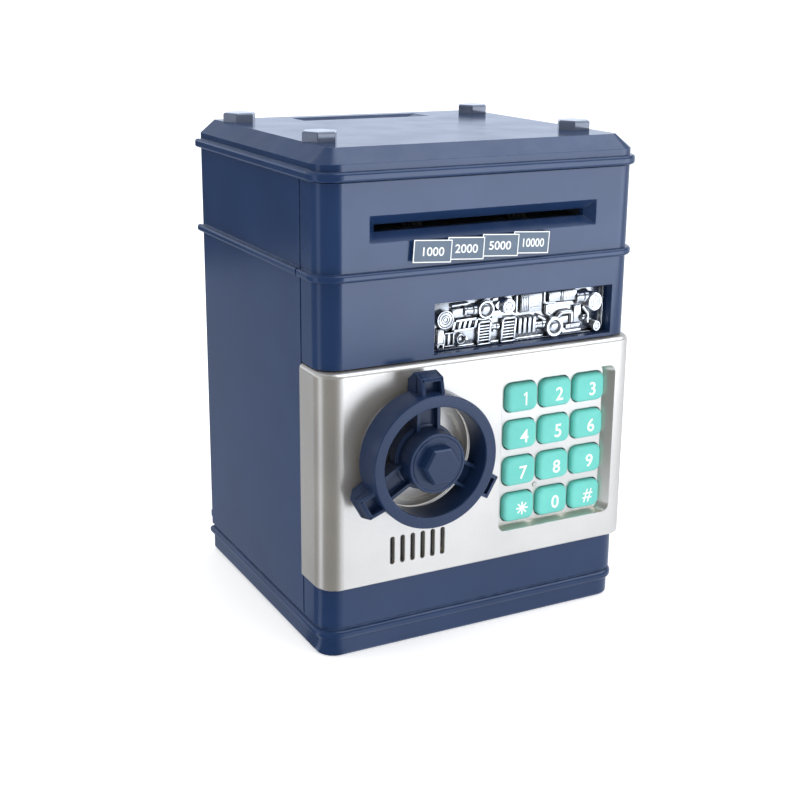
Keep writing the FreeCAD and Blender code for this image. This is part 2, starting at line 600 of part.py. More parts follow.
def make_note_guide():
    """Frame behind the note slot: two cheeks, two guide plates and the motor bracket."""
    front = FRONT_Y + 6.4
    cheeks = [
        block(-CHEEK_X, -CHEEK_X + 2, front, -30.5, 143.5, 167.0),
        block(CHEEK_X - 2, CHEEK_X, front, -10.0, 140.0, 167.0),
    ]
    lower = block(-CHEEK_X, CHEEK_X, front, -30.5, 152.4, 154.0)
    upper = block(-CHEEK_X, CHEEK_X, front, -30.5, 158.4, 160.0)
    rails = [block(-60.0, -CHEEK_X, front, front + 2, 164.0, 167.0),
              block(CHEEK_X, 60.0, front, front + 2, 164.0, 167.0)]
    body = fuse(cheeks + [lower, upper] + rails)
    cuts = []
    for x in (-ROLLER_X, ROLLER_X):
        cuts.append(block(x - ROLLER_W / 2 - 1, x + ROLLER_W / 2 + 1, FEED_Y - 6.0, FEED_Y + 6.0, 151.0, 161.0))
    cuts.append(rod((-60, FEED_Y, FEED_Z), (1, 0, 0), FEED_SHAFT_R + RUNNING, 120))
    cuts.append(rod((-60, FEED_Y, PINCH_Z), (1, 0, 0), PINCH_SHAFT_R + RUNNING, 120))
    cuts.append(block(-43.0, 43.0, FEED_Y - 2.2, FEED_Y + 2.2, 158.0, 161.0))
    cuts.append(rod((CHEEK_X - 3, motor_y(), FEED_Z), (1, 0, 0), 2.6, 6))
    return cut_all(body, cuts)


def motor_y():
    """Y of the motor axis, one gear centre distance behind the feed shaft."""
    return FEED_Y + GEAR_MODULE * (GEAR_TEETH + MOTOR_TEETH) / 2 + 0.05


def make_feed_shaft():
    """Steel shaft of the driven rollers."""
    return rod((-48.0, FEED_Y, FEED_Z), (1, 0, 0), FEED_SHAFT_R, 100.0)


def make_feed_rollers():
    """Two rubber rollers on the feed shaft."""
    rollers = []
    for x in (-ROLLER_X, ROLLER_X):
        tyre = tube((x - ROLLER_W / 2, FEED_Y, FEED_Z), (1, 0, 0), FEED_R, FEED_SHAFT_R, ROLLER_W)
        grooves = [tube((x - 2.6 + 2.0 * k, FEED_Y, FEED_Z), (1, 0, 0), FEED_R + 1, FEED_R - 0.5, 0.7)
                   for k in range(3)]
        rollers.append(cut_all(tyre, grooves))
    return Part.makeCompound(rollers)


def make_pinch_shaft():
    """Steel shaft of the idle rollers."""
    return rod((-CHEEK_X - 0.4, FEED_Y, PINCH_Z), (1, 0, 0), PINCH_SHAFT_R, 2 * CHEEK_X + 0.8)


def make_pinch_rollers():
    """Two idle rollers that press a note on the driven ones."""
    return Part.makeCompound([
        tube((x - ROLLER_W / 2 + 1, FEED_Y, PINCH_Z), (1, 0, 0), PINCH_R, PINCH_SHAFT_R, ROLLER_W - 2)
        for x in (-ROLLER_X, ROLLER_X)
    ])


def make_drive_gear():
    """Large spur gear pressed on the feed shaft."""
    gear = involute_gear(GEAR_TEETH, GEAR_MODULE, GEAR_MODULE, 3.0)
    gear = gear.fuse(rod((0, 0, 0), (0, 0, 1), 3.6, 4.2)).cut(rod((0, 0, -1), (0, 0, 1), FEED_SHAFT_R, 8))
    holes = [rod((6.6 * math.cos(a), 6.6 * math.sin(a), -1), (0, 0, 1), 1.6, 8)
             for a in [math.pi * k / 3 for k in range(6)]]
    return along_x(cut_all(gear, holes), CHEEK_X + 0.8, FEED_Y, FEED_Z)


def make_motor_pinion():
    """Small spur gear pressed on the motor shaft, in mesh with the large one."""
    gear = involute_gear(MOTOR_TEETH, GEAR_MODULE, GEAR_MODULE, 3.4)
    gear = gear.cut(rod((0, 0, -1), (0, 0, 1), 1.0, 8))
    # The large gear carries a tooth on its -Z side turned a quarter round; the pinion meets a gap there.
    return along_x(gear, CHEEK_X + 0.8, motor_y(), FEED_Z, pinion_turn())


def pinion_turn():
    """Turn that puts a gap of the pinion opposite a tooth of the drive gear on the line of centres."""
    # Seen along X, the line of centres is local +Y of the large gear and local -Y of the pinion.
    gear_phase = (90.0 * GEAR_TEETH / 360.0) % 1.0
    gap_angle = 360.0 / MOTOR_TEETH * (0.5 + gear_phase)
    return -90.0 + gap_angle


def make_motor_shaft():
    """Steel shaft of the feed motor."""
    return rod((CHEEK_X - 6, motor_y(), FEED_Z), (1, 0, 0), 1.0, 10.6)


def make_feed_motor():
    """Small flat-sided motor held on the right cheek."""
    can = rod((CHEEK_X - 27, motor_y(), FEED_Z), (1, 0, 0), 10.0, 25.0)
    can = can.common(block(0, 60, motor_y() - 7.5, motor_y() + 7.5, FEED_Z - 12, FEED_Z + 12))
    nose = rod((CHEEK_X - 2.1, motor_y(), FEED_Z), (1, 0, 0), 2.5, 1.9)
    tail = rod((CHEEK_X - 29, motor_y(), FEED_Z), (1, 0, 0), 3.0, 2.2)
    hole = rod((CHEEK_X - 7, motor_y(), FEED_Z), (1, 0, 0), 1.0 + RUNNING, 8)
    return fuse([can, nose, tail]).cut(hole)


def make_main_board():
    """Circuit board behind the window band, with its larger parts."""
    back = FRONT_Y + 4.2
    board = block(-58.0, -25.0, back, back + 1.6, 113.5, 137.5)
    chips = [
        block(-50.0, -38.0, back + 1.5, back + 3.6, 120.0, 132.0),
        rod((-32.0, back + 1.5, 120.0), (0, 1, 0), 3.0, 7.0),
        block(-57.0, -52.5, back + 1.5, back + 7.0, 122.0, 134.0),
        block(-36.5, -29.0, back + 1.5, back + 4.0, 128.0, 131.0),
    ]
    return fuse([board] + chips)


def make_strike():
    """Steel strike plate behind the latch side of the door frame."""
    y0 = FRAME_Y + FRAME_T
    plate = block(-59.6, -54.2, y0, y0 + 0.5, 56.0, 82.0)
    return plate


# ---- door pieces -----------------------------------------------------------------------------

def door_wire(inset, radius, z):
    """Door outline seen from above, from the left return round the front to the right return."""
    half = DOOR_HALF - inset
    front = DOOR_FRONT + inset
    corner = math.sqrt(0.5) * radius
    points = {
        "left_back": Vector(-half, DOOR_BACK, z),
        "left_side": Vector(-half, front + radius, z),
        "left_mid": Vector(-half + radius - corner, front + radius - corner, z),
        "left_front": Vector(-half + radius, front, z),
        "right_front": Vector(half - radius, front, z),
        "right_mid": Vector(half - radius + corner, front + radius - corner, z),
        "right_side": Vector(half, front + radius, z),
        "right_back": Vector(half, DOOR_BACK, z),
    }
    edges = [
        Part.makeLine(points["left_back"], points["left_side"]),
        Part.Arc(points["left_side"], points["left_mid"], points["left_front"]).toShape(),
        Part.makeLine(points["left_front"], points["right_front"]),
        Part.Arc(points["right_front"], points["right_mid"], points["right_side"]).toShape(),
        Part.makeLine(points["right_side"], points["right_back"]),
        Part.makeLine(points["right_back"], points["left_back"]),
    ]
    return Part.Wire(edges)


def make_door_panel():
    """Outer door: a shallow box that wraps both corners, with the keypad well and the hinge barrel."""
    outer = Part.Face(door_wire(0.0, CORNER_R, DOOR_BOTTOM)).extrude(Vector(0, 0, DOOR_TOP - DOOR_BOTTOM))
    rounded = [e for e in edges_at(outer, "Z", DOOR_TOP) if e.BoundBox.YMin < DOOR_BACK - 0.5]
    outer = outer.makeFillet(1.8, rounded)
    rounded = [e for e in edges_at(outer, "Z", DOOR_BOTTOM) if e.BoundBox.YMin < DOOR_BACK - 0.5]
    outer = outer.makeFillet(0.8, rounded)
    inner = Part.Face(door_wire(WALL, CORNER_R - WALL, DOOR_BOTTOM + WALL))
    inner = inner.extrude(Vector(0, 0, DOOR_TOP - DOOR_BOTTOM - 2 * WALL))
    shell = outer.cut(inner)
    shell = shell.cut(block(HINGE_X - 3.0, 80, HINGE_Y, 0, 0, 200))
    height = DOOR_TOP - DOOR_BOTTOM
    barrel = rod((HINGE_X, HINGE_Y, DOOR_BOTTOM), (0, 0, 1), HINGE_R, height)
    x0, x1, z0, z1 = KEYPAD
    left, right, low, high = KEYPAD_DRAFT
    floor_back = KEYPAD_FLOOR + KEYPAD_FLOOR_T
    well = round_prism(x0 - 1.4, x1 + 1.4, z0 - 1.4, z1 + 1.4, KEYPAD_R + 1.4, DOOR_FRONT + 1.0, floor_back)
    bosses = [tube((x, DOOR_INNER - 0.5, z), (0, 1, 0), 2.8, 1.0, -43.2 - DOOR_INNER + 0.5)
              for x, z in DOOR_SCREWS]
    shaft_boss = rod((WHEEL_X, DOOR_INNER - 0.5, WHEEL_Z), (0, 1, 0), 6.0, 9.0)
    dial = rod((WHEEL_X, DOOR_FRONT - 1.6, WHEEL_Z), (0, 1, 0), DIAL_R, 2.0)
    dial = dial.makeChamfer(0.8, edges_at(dial, "Y", DOOR_FRONT - 1.6))
    sink = rod((WHEEL_X, DOOR_FRONT - 2.0, WHEEL_Z), (0, 1, 0), DIAL_R - 3.0, 2.0)
    speaker_rim = tube((SPEAKER[0], DOOR_INNER - 0.3, SPEAKER[1]), (0, 1, 0), 15.4, 14.2, 3.0)
    speaker_rim = speaker_rim.cut(block(-80, 80, -100, 0, 0, DOOR_BOTTOM + 1))
    body = fuse([shell, barrel, well, shaft_boss, dial.cut(sink), speaker_rim] + bosses)
    cuts = [
        round_loft(KEYPAD, (x0 + left, x1 - right, z0 + low, z1 - high), (KEYPAD_R, KEYPAD_R - 0.6),
                   DOOR_FRONT, KEYPAD_FLOOR),
        rod((WHEEL_X, DOOR_FRONT - 3.0, WHEEL_Z), (0, 1, 0), SHAFT_R + RUNNING, 20.0),
        rod((LED_POS[0], KEYPAD_FLOOR - 1, LED_POS[1]), (0, 1, 0), LED_R, 4.0),
        rod((HINGE_X, HINGE_Y, DOOR_BOTTOM - 1), (0, 0, 1), HINGE_PIN_R, 9.0),
        rod((HINGE_X, HINGE_Y, DOOR_TOP - 8), (0, 0, 1), HINGE_PIN_R, 9.0),
    ]
    for row in KEY_ROWS:
        for column in KEY_COLUMNS:
            half_w = KEY_W / 2 + KEY_GAP
            half_h = KEY_H / 2 + KEY_GAP
            cuts.append(round_prism(column - half_w, column + half_w, row - half_h, row + half_h,
                                    KEY_R + 0.3, KEYPAD_FLOOR - 1, floor_back + 1))
    for index in range(SLOT_COUNT):
        x = SLOT_FIRST_X + SLOT_PITCH * index
        cuts.append(round_prism(x - SLOT_W / 2, x + SLOT_W / 2, SLOT_Z[0], SLOT_Z[1], SLOT_W / 2 - 0.01,
                                DOOR_FRONT - 1, DOOR_INNER + 1))
    return cut_all(body, cuts)


def make_hinge_pins():
    """Two steel pins pressed in the barrel; their free ends turn in the front shell."""
    low = rod((HINGE_X, HINGE_Y, PLINTH_TOP - 4.6), (0, 0, 1), HINGE_PIN_R, DOOR_BOTTOM + 7.6 - PLINTH_TOP + 4.6)
    high = rod((HINGE_X, HINGE_Y, DOOR_TOP - 7.6), (0, 0, 1), HINGE_PIN_R, MID_FLOOR + 4.0 - DOOR_TOP + 7.6)
    return Part.makeCompound([low, high])


def make_key(x, z):
    """One key cap with a softly rounded face and a retaining flange behind the keypad floor."""
    back = KEYPAD_FLOOR + KEYPAD_FLOOR_T + 0.3
    cap = round_prism(x - KEY_W / 2, x + KEY_W / 2, z - KEY_H / 2, z + KEY_H / 2, KEY_R, KEY_FRONT, back + 0.5)
    cap = cap.makeFillet(0.9, edges_at(cap, "Y", KEY_FRONT))
    half_w = KEY_W / 2 + FLANGE_OUT
    half_h = KEY_H / 2 + FLANGE_OUT + 0.4
    flange = block(x - half_w, x + half_w, back, back + FLANGE_T, z - half_h, z + half_h)
    return fuse([cap, flange])


def make_membrane():
    """Rubber contact sheet behind the keys."""
    y0 = KEYPAD_FLOOR + KEYPAD_FLOOR_T + 0.3 + FLANGE_T + KEY_TRAVEL + 0.3
    x0, x1, z0, z1 = KEYPAD
    return round_prism(x0 + 0.6, x1 - 0.6, z0 + 0.6, z1 - 0.6, 2.0, y0, y0 + 0.9)


def make_keypad_board():
    """Keypad circuit board with a chip and a connector."""
    y0 = KEYPAD_FLOOR + KEYPAD_FLOOR_T + 0.3 + FLANGE_T + KEY_TRAVEL + 1.2
    x0, x1, z0, z1 = KEYPAD
    board = block(x0 - 2.0, 55.4, y0, y0 + 1.6, z0 - 0.4, z1 + 0.4)
    chips = [
        block(20.0, 32.0, y0 + 1.5, y0 + 3.4, 60.0, 72.0),
        block(40.0, 50.0, y0 + 1.5, y0 + 4.4, 44.0, 49.0),
        rod((14.0, y0 + 1.5, 82.0), (0, 1, 0), 2.5, 3.4),
    ]
    return fuse([board] + chips)


def make_led():
    """Small indicator lamp between the keys."""
    x, z = LED_POS
    lens = rod((x, KEYPAD_FLOOR - 0.4, z), (0, 1, 0), LED_R - 0.05, KEYPAD_FLOOR_T + 0.4)
    return lens.makeFillet(0.4, edges_at(lens, "Y", KEYPAD_FLOOR - 0.4))


def make_speaker():
    """Loudspeaker behind the slots."""
    x, z = SPEAKER
    rim = rod((x, DOOR_INNER + 0.2, z), (0, 1, 0), 14.0, 2.4)
    basket = Part.makeCone(12.0, 7.0, 3.0, Vector(x, DOOR_INNER + 2.6, z), Vector(0, 1, 0))
    magnet = rod((x, DOOR_INNER + 5.6, z), (0, 1, 0), 7.5, 3.2)
    return fuse([rim, basket, magnet])


def make_door_liner():
    """Inner door cover with the walls of the latch housing."""
    plate = block(-63.2, 55.4, -43.1, -41.3, 30.0, 105.6)
    x0, x1, z0, z1 = HOUSING
    walls = block(x0, x1, -42.0, HOUSING_BACK, z0, z1)
    walls = walls.cut(block(x0 + 1.5, x1 - 1.5, -41.3, HOUSING_BACK + 1, z0 + 1.5, z1 - 1.5))
    bosses = [rod((x, -42.0, z), (0, 1, 0), 2.4, HOUSING_BACK + 42.0) for x, z in COVER_POINTS]
    rail = block(x0 + 1.0, x1 - 12, -41.5, HOUSING_BACK, 61.0, 62.2)
    rail_top = block(x0 + 1.0, x0 + 12.0, -41.5, HOUSING_BACK, 71.6, 72.8)
    spacer = block(x0 + 1.0, x1 - 12, -41.5, LATCH_Y[0] - 0.3, 62.0, 69.4)
    spacer = spacer.cut(rod((PLUNGER_X, PLUNGER_Y, 55.0), (0, 0, 1), PLUNGER_R + 0.5, 20.0))
    body = fuse([plate, walls, rail, rail_top, spacer] + bosses)
    ribs = [block(x, x + 1.2, -41.4, -40.9, 32.0, 103.6) for x in (-4.0, 12.0, 28.0, 44.0)]
    body = fuse([body] + ribs)
    cuts = [
        rod((WHEEL_X, -50.0, WHEEL_Z), (0, 1, 0), SHAFT_R + 0.5, 12.0),
        block(x0 - 1, x0 + 2, LATCH_Y[0] - 0.3, LATCH_Y[1] + 0.3, 62.2, 71.6),
        rod((PLUNGER_X, PLUNGER_Y, 55.0), (0, 0, 1), PLUNGER_R + 0.5, 10.0),
    ]
    cuts += [rod((x, -50.0, z), (0, 1, 0), 1.2, 10.0) for x, z in DOOR_SCREWS]
    cuts += [rod((x, LINER_SEAT, z), (0, 1, 0), 2.3, 4.0) for x, z in DOOR_SCREWS]
    cuts += [rod((x, -40.5, z), (0, 1, 0), 0.9, 10.0) for x, z in COVER_POINTS]
    return cut_all(body, cuts)


def make_latch_cover():
    """Back plate of the latch housing."""
    x0, x1, z0, z1 = HOUSING
    plate = round_prism(x0, x1, z0, z1, 1.5, HOUSING_BACK, HOUSING_BACK + COVER_T)
    cuts = [rod((WHEEL_X, HOUSING_BACK - 1, WHEEL_Z), (0, 1, 0), 2.0 + RUNNING, 5.0)]
    cuts += [rod((x, HOUSING_BACK - 1, z), (0, 1, 0), 1.1, 5.0) for x, z in COVER_POINTS]
    return cut_all(plate, cuts)


def make_door_screws():
    """Four screws of the liner and four of the latch housing cover."""
    liner = [screw((x, LINER_SEAT, z), (0, -1, 0), 9.0, 0.98, 2.0, 1.0) for x, z in DOOR_SCREWS]
    cover = [screw((x, HOUSING_BACK + COVER_T + 0.02, z), (0, -1, 0), 7.0, 0.88, 1.8, 1.0)
             for x, z in COVER_POINTS]
    return Part.makeCompound(liner + cover)


def wheel_frame(shape):
    """Move a shape made round the Z axis, with +Z as the wheel's front, on to the wheel's axis."""
    shape = shape.copy()
    shape.rotate(Vector(0, 0, 0), Vector(1, 0, 0), 90)
    shape.translate(Vector(WHEEL_X, DOOR_FRONT, WHEEL_Z))
    return shape


def make_lug():
    """Grip lug with a pocket in its front, along +X from the rim."""
    corners = [Vector(radius, -LUG_W / 2, height) for radius, height in LUG_OUTLINE]
    lug = Part.Face(Part.makePolygon(corners + corners[:1])).extrude(Vector(0, LUG_W, 0))
    half = LUG_W / 2 - LUG_WALL
    end = LUG_OUTLINE[3][0] - LUG_WALL
    return lug.cut(block(RING_OUT + 0.4, end, -half, half, LUG_POCKET_FLOOR, LUG_OUTLINE[4][1] + 1))


def make_handwheel():
    """Three-lugged handwheel with a hollow rim, a stepped hub and three channelled spokes."""
    back = DOOR_FRONT - RING_BACK
    front = DOOR_FRONT - RING_FRONT
    hub_front = DOOR_FRONT - HUB_FRONT
    rim = rod((0, 0, back), (0, 0, 1), RING_OUT, front - back)
    rim = rim.makeFillet(0.7, edges_at(rim, "Z", front))
    rim = rim.cut(rod((0, 0, back - 1), (0, 0, 1), RING_IN, front - back + 2))
    hub = rod((0, 0, back), (0, 0, 1), HUB_R, hub_front - back)
    hub = hub.makeFillet(0.6, edges_at(hub, "Z", hub_front))
    foot = rod((0, 0, back - 0.6), (0, 0, 1), HUB_FOOT_R, HUB_FOOT_H + 0.6)
    pieces = [rim, hub, foot]
    grooves = []
    for angle in LUG_ANGLES:
        lug = make_lug()
        spoke = block(HUB_R - 1.5, RING_IN + 0.5, -SPOKE_W / 2, SPOKE_W / 2, back, back + 6.0)
        channel = block(HUB_FOOT_R, RING_IN, -SPOKE_W / 2 + 1.6, SPOKE_W / 2 - 1.6, back + 3.6, back + 7.0)
        for shape, group in ((lug, pieces), (spoke, pieces), (channel, grooves)):
            shape.rotate(Vector(0, 0, 0), Vector(0, 0, 1), angle)
            group.append(shape)
    body = fuse(pieces)
    grooves.append(rod((0, 0, back - 2), (0, 0, 1), SHAFT_R, front + 0.8))
    body = cut_all(body, grooves)
    return wheel_frame(body)


def make_wheel_cap():
    """Hexagonal nut cap on the hub."""
    hub_front = DOOR_FRONT - HUB_FRONT
    cap = hexagon(0, 0, hub_front, CAP_FLATS, CAP_H)
    cap = cap.makeChamfer(0.7, edges_at(cap, "Z", hub_front + CAP_H))
    return wheel_frame(cap)


def make_wheel_shaft():
    """Steel spindle from the hub through the door to the latch housing cover."""
    front = RING_FRONT + 1.2
    main = rod((WHEEL_X, front, WHEEL_Z), (0, 1, 0), SHAFT_R, HOUSING_BACK - 1.0 - front)
    tail = rod((WHEEL_X, HOUSING_BACK - 1.2, WHEEL_Z), (0, 1, 0), 2.0, COVER_T + 1.2)
    return fuse([main, tail])


def make_latch_pinion():
    """Pinion on the spindle that drives the latch bolt."""
    gear = involute_gear(PINION_TEETH, PINION_MODULE, 0.85, LATCH_Y[1] - LATCH_Y[0] + 0.6)
    collar = rod((0, 0, -2.4), (0, 0, 1), 4.4, 2.6)
    gear = gear.fuse(collar).cut(rod((0, 0, -4), (0, 0, 1), SHAFT_R, 12))
    return along_y(gear, WHEEL_X, LATCH_Y[0] - 0.3, WHEEL_Z)


def make_latch_bolt():
    """Sliding bolt with a rack on its upper edge and two notches for the lock plunger."""
    pitch_z = WHEEL_Z - PINION_TEETH * PINION_MODULE / 2
    step = math.pi * PINION_MODULE
    root_z = pitch_z - 1.05
    tip_z = pitch_z + 0.6
    x0 = HOUSING[0] + 0.3
    x1 = WHEEL_X + 13.2
    y0, y1 = LATCH_Y
    # The pinion has a tooth straight down, so the rack has a gap there.
    slope = math.tan(math.radians(20))
    half_pitch_tooth = step / 4 - 0.10
    body = block(x0, x1, y0, y1, 62.6, root_z)
    nose = block(x0, x0 + 14.0, y0, y1, 62.6, 71.2)
    nose = nose.makeChamfer(1.6, [e for e in edges_at(nose, "X", x0) if abs(e.tangentAt(0).y) > 0.9
                                  and e.BoundBox.ZMin > 70.0])
    teeth = []
    for index in range(-2, 5):
        centre = WHEEL_X + (index + 0.5) * step
        low = half_pitch_tooth + (pitch_z - root_z + 0.05) * slope
        high = half_pitch_tooth - (tip_z - pitch_z) * slope
        outline = [Vector(centre - low, y0, root_z - 0.05), Vector(centre + low, y0, root_z - 0.05),
                   Vector(centre + high, y0, tip_z), Vector(centre - high, y0, tip_z)]
        face = Part.Face(Part.makePolygon(outline + outline[:1]))
        tooth = face.extrude(Vector(0, y1 - y0, 0))
        if centre + low < x1:
            teeth.append(tooth)
    bolt = fuse([body, nose] + teeth)
    travel = latch_travel()
    notches = []
    for shift in (0.0, travel):
        x = PLUNGER_X + shift
        notches.append(block(x - 2.0, x + 2.0, y0 - 1, y1 + 1, 60.0, 66.6))
    return cut_all(bolt, notches)


def latch_travel():
    """Travel of the bolt over the wheel's turn."""
    return math.radians(LATCH_TURN) * PINION_TEETH * PINION_MODULE / 2


def make_solenoid():
    """Coil frame of the electric lock below the bolt."""
    body = block(PLUNGER_X - 7.0, PLUNGER_X + 7.0, -41.2, HOUSING_BACK - 0.2, 39.0, 57.0)
    coil_ends = [block(PLUNGER_X - 8.0, PLUNGER_X + 8.0, -41.2, HOUSING_BACK - 0.2, z, z + 1.2)
                 for z in (39.0, 55.8)]
    bore = rod((PLUNGER_X, PLUNGER_Y, 42.0), (0, 0, 1), PLUNGER_R + RUNNING, 20.0)
    return fuse([body] + coil_ends).cut(bore)


def make_plunger():
    """Steel plunger of the electric lock."""
    rod_part = rod((PLUNGER_X, PLUNGER_Y, 44.0), (0, 0, 1), PLUNGER_R, 18.2)
    return rod_part.makeChamfer(0.3, edges_at(rod_part, "Z", 62.2))


def build_all():
    """Every piece by name."""
    pieces = {
        "base": make_base(),
        "battery_cover": make_battery_cover(),
        "battery_cover_screws": make_cover_screws(),
        "batteries": make_batteries(),
        "battery_contacts": make_battery_contacts(),
        "money_floor": make_money_floor(),
        "front_shell": make_front_shell(),
        "rear_shell": make_rear_shell(),
        "base_screws": make_base_screws(),
        "frame_screws": make_frame_screws(),
        "lid": make_lid(),
        "lid_bolts": make_lid_bolts(),
        "coin_chute": make_coin_chute(),
        "decor_panel": make_decor_panel(),
        "note_guide": make_note_guide(),
        "feed_shaft": make_feed_shaft(),
        "feed_rollers": make_feed_rollers(),
        "pinch_shaft": make_pinch_shaft(),
        "pinch_rollers": make_pinch_rollers(),
        "drive_gear": make_drive_gear(),
        "motor_pinion": make_motor_pinion(),
        "motor_shaft": make_motor_shaft(),
        "feed_motor": make_feed_motor(),
        "main_board": make_main_board(),
        "strike_plate": make_strike(),
        "door_panel": make_door_panel(),
        "door_liner": make_door_liner(),
        "latch_cover": make_latch_cover(),
        "door_screws": make_door_screws(),
        "hinge_pins": make_hinge_pins(),
        "keypad_membrane": make_membrane(),
        "keypad_board": make_keypad_board(),
        "keypad_lamp": make_led(),
        "speaker": make_speaker(),
        "handwheel": make_handwheel(),
        "wheel_cap": make_wheel_cap(),
        "wheel_shaft": make_wheel_shaft(),
        "latch_pinion": make_latch_pinion(),
        "latch_bolt": make_latch_bolt(),
        "lock_solenoid": make_solenoid(),
        "lock_plunger": make_plunger(),
    }
    for row, z in enumerate(KEY_ROWS):
        for column, x in enumerate(KEY_COLUMNS):
            pieces["key_" + KEY_NAMES[row][column]] = make_key(x, z)
    return pieces


os.makedirs("parts", exist_ok=True)
for name, shape in build_all().items():
    shape.exportStep(os.path.join("parts", name + ".step"))
    print(name, len(shape.Solids), round(shape.Volume, 1), shape.isValid())
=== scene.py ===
"""A toy cash-machine savings bank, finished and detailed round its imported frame.

Shapes are drawn in millimetres and scaled to metres when a piece is made.
+X is the viewer's right, +Y the back and +Z up, as in the frame.
"""
import json
import logging
import math
from dataclasses import dataclass, field
from enum import Enum

import bmesh
import bpy
from mathutils import Matrix, Vector


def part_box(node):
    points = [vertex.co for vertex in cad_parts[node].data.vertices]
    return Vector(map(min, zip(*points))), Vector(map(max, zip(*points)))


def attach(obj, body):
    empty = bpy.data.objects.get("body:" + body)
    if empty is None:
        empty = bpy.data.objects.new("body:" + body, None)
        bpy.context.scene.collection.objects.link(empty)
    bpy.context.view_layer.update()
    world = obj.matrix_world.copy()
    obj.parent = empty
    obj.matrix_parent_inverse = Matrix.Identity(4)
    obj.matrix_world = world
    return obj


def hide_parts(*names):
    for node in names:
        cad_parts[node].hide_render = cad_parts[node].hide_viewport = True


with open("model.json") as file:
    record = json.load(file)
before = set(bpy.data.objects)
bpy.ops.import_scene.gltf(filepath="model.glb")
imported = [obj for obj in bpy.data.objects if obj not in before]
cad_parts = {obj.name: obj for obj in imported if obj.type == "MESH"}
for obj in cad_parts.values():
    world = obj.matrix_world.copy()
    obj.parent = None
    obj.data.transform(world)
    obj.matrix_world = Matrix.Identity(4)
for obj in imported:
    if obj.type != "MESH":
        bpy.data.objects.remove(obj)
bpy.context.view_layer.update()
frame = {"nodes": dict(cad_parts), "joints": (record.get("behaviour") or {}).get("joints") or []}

MM = 0.001
CREASE_DEG = 38.0
SOFT_TURN_DEG = 30.0
ON_AXIS = 1e-6
RELIEF_ROOT = -0.3

Colour = tuple[float, float, float]
Outline = list[tuple[float, float]]
Shape = bmesh.types.BMesh

log = logging.getLogger("savings_bank")


class Body(Enum):
    """The moving bodies that pieces ride on, apart from the buttons."""

    CASE = "case"
    DOOR = "door"
    WHEEL = "wheel"


class Slot(Enum):
    """The record's material slots that new pieces take."""

    NAVY = "navy_plastic"
    KEY = "key_teal"
    PLATED = "plated_relief"
    BOLT = "bolt_plastic"


# ---- shapes ----------------------------------------------------------------------------------


def soften(shape: Shape, radius: float, steps: int = 2) -> Shape:
    """Rounds the edges of a closed shape that turn sharply.

    Args:
        shape: the closed shape, changed in place.
        radius: how far the rounding reaches from each edge.
        steps: how many strips make the rounding.

    Returns:
        The same shape.
    """
    if radius > 0.0:
        turn = math.radians(SOFT_TURN_DEG)
        sharp = [e for e in shape.edges if e.is_manifold and e.calc_face_angle(0.0) > turn]
        bmesh.ops.bevel(shape, geom=sharp, offset=radius, offset_type="OFFSET", segments=steps,
                        profile=0.5, affect="EDGES", clamp_overlap=True)
    return shape


def prism(outline: Outline, low: float, high: float, rounding: float = 0.0) -> Shape:
    """Draws an upright prism.

    Args:
        outline: the plan's corners in order.
        low: height of the bottom.
        high: height of the top.
        rounding: radius given to every sharp edge.

    Returns:
        The closed shape.
    """
    shape = bmesh.new()
    lower = [shape.verts.new((x, y, low)) for x, y in outline]
    upper = [shape.verts.new((x, y, high)) for x, y in outline]
    shape.faces.new(lower)
    shape.faces.new(upper)
    for i, j in zip(range(len(outline)), [*range(1, len(outline)), 0]):
        shape.faces.new((lower[i], lower[j], upper[j], upper[i]))
    bmesh.ops.recalc_face_normals(shape, faces=shape.faces[:])
    return soften(shape, rounding)


def slab(x: tuple[float, float], y: tuple[float, float], z: tuple[float, float],
         rounding: float = 0.0) -> Shape:
    """Draws a block between three pairs of limits, with rounded edges."""
    corners = [(x[0], y[0]), (x[1], y[0]), (x[1], y[1]), (x[0], y[1])]
    return prism(corners, z[0], z[1], rounding)


def lofted(rings: list[list[Vector]], ring_closes: bool = False) -> Shape:
    """Skins a row of rings of equal count.

    Args:
        rings: the rings in order; a ring of one point is a pole.
        ring_closes: joins the last ring to the first, in place of end caps.

    Returns:
        The closed shape.
    """
    shape = bmesh.new()
    made = [[shape.verts.new(p) for p in ring] for ring in rings]
    pairs = list(zip(made, made[1:]))
    if ring_closes:
        pairs.append((made[-1], made[0]))
    else:
        for end in (made[0], made[-1]):
            if len(end) > 2:
                shape.faces.new(end)
    for a, b in pairs:
        count = max(len(a), len(b))
        for i in range(count):
            j = (i + 1) % count
            corner = (a[i % len(a)], a[j % len(a)], b[j % len(b)], b[i % len(b)])
            unique = list(dict.fromkeys(corner))
            if len(unique) > 2:
                shape.faces.new(unique)
    bmesh.ops.recalc_face_normals(shape, faces=shape.faces[:])
    return shape


def turned(profile: Outline, steps: int = 64, squeeze: float = 1.0) -> Shape:
    """Turns a profile round the upright axis.

    Args:
        profile: (radius, height) in order; it closes on itself unless it meets the axis.
        steps: how many flats make a turn.
        squeeze: scale of the X radius, for an oval.

    Returns:
        The closed shape.
    """
    rings = []
    for radius, height in profile:
        if radius < ON_AXIS:
            rings.append([Vector((0.0, 0.0, height))])
        else:
            rings.append([Vector((squeeze * radius * math.cos(2 * math.pi * k / steps),
                                  radius * math.sin(2 * math.pi * k / steps), height))
                          for k in range(steps)])
    on_axis = min(profile[0][0], profile[-1][0]) < ON_AXIS
    return lofted(rings, ring_closes=not on_axis)


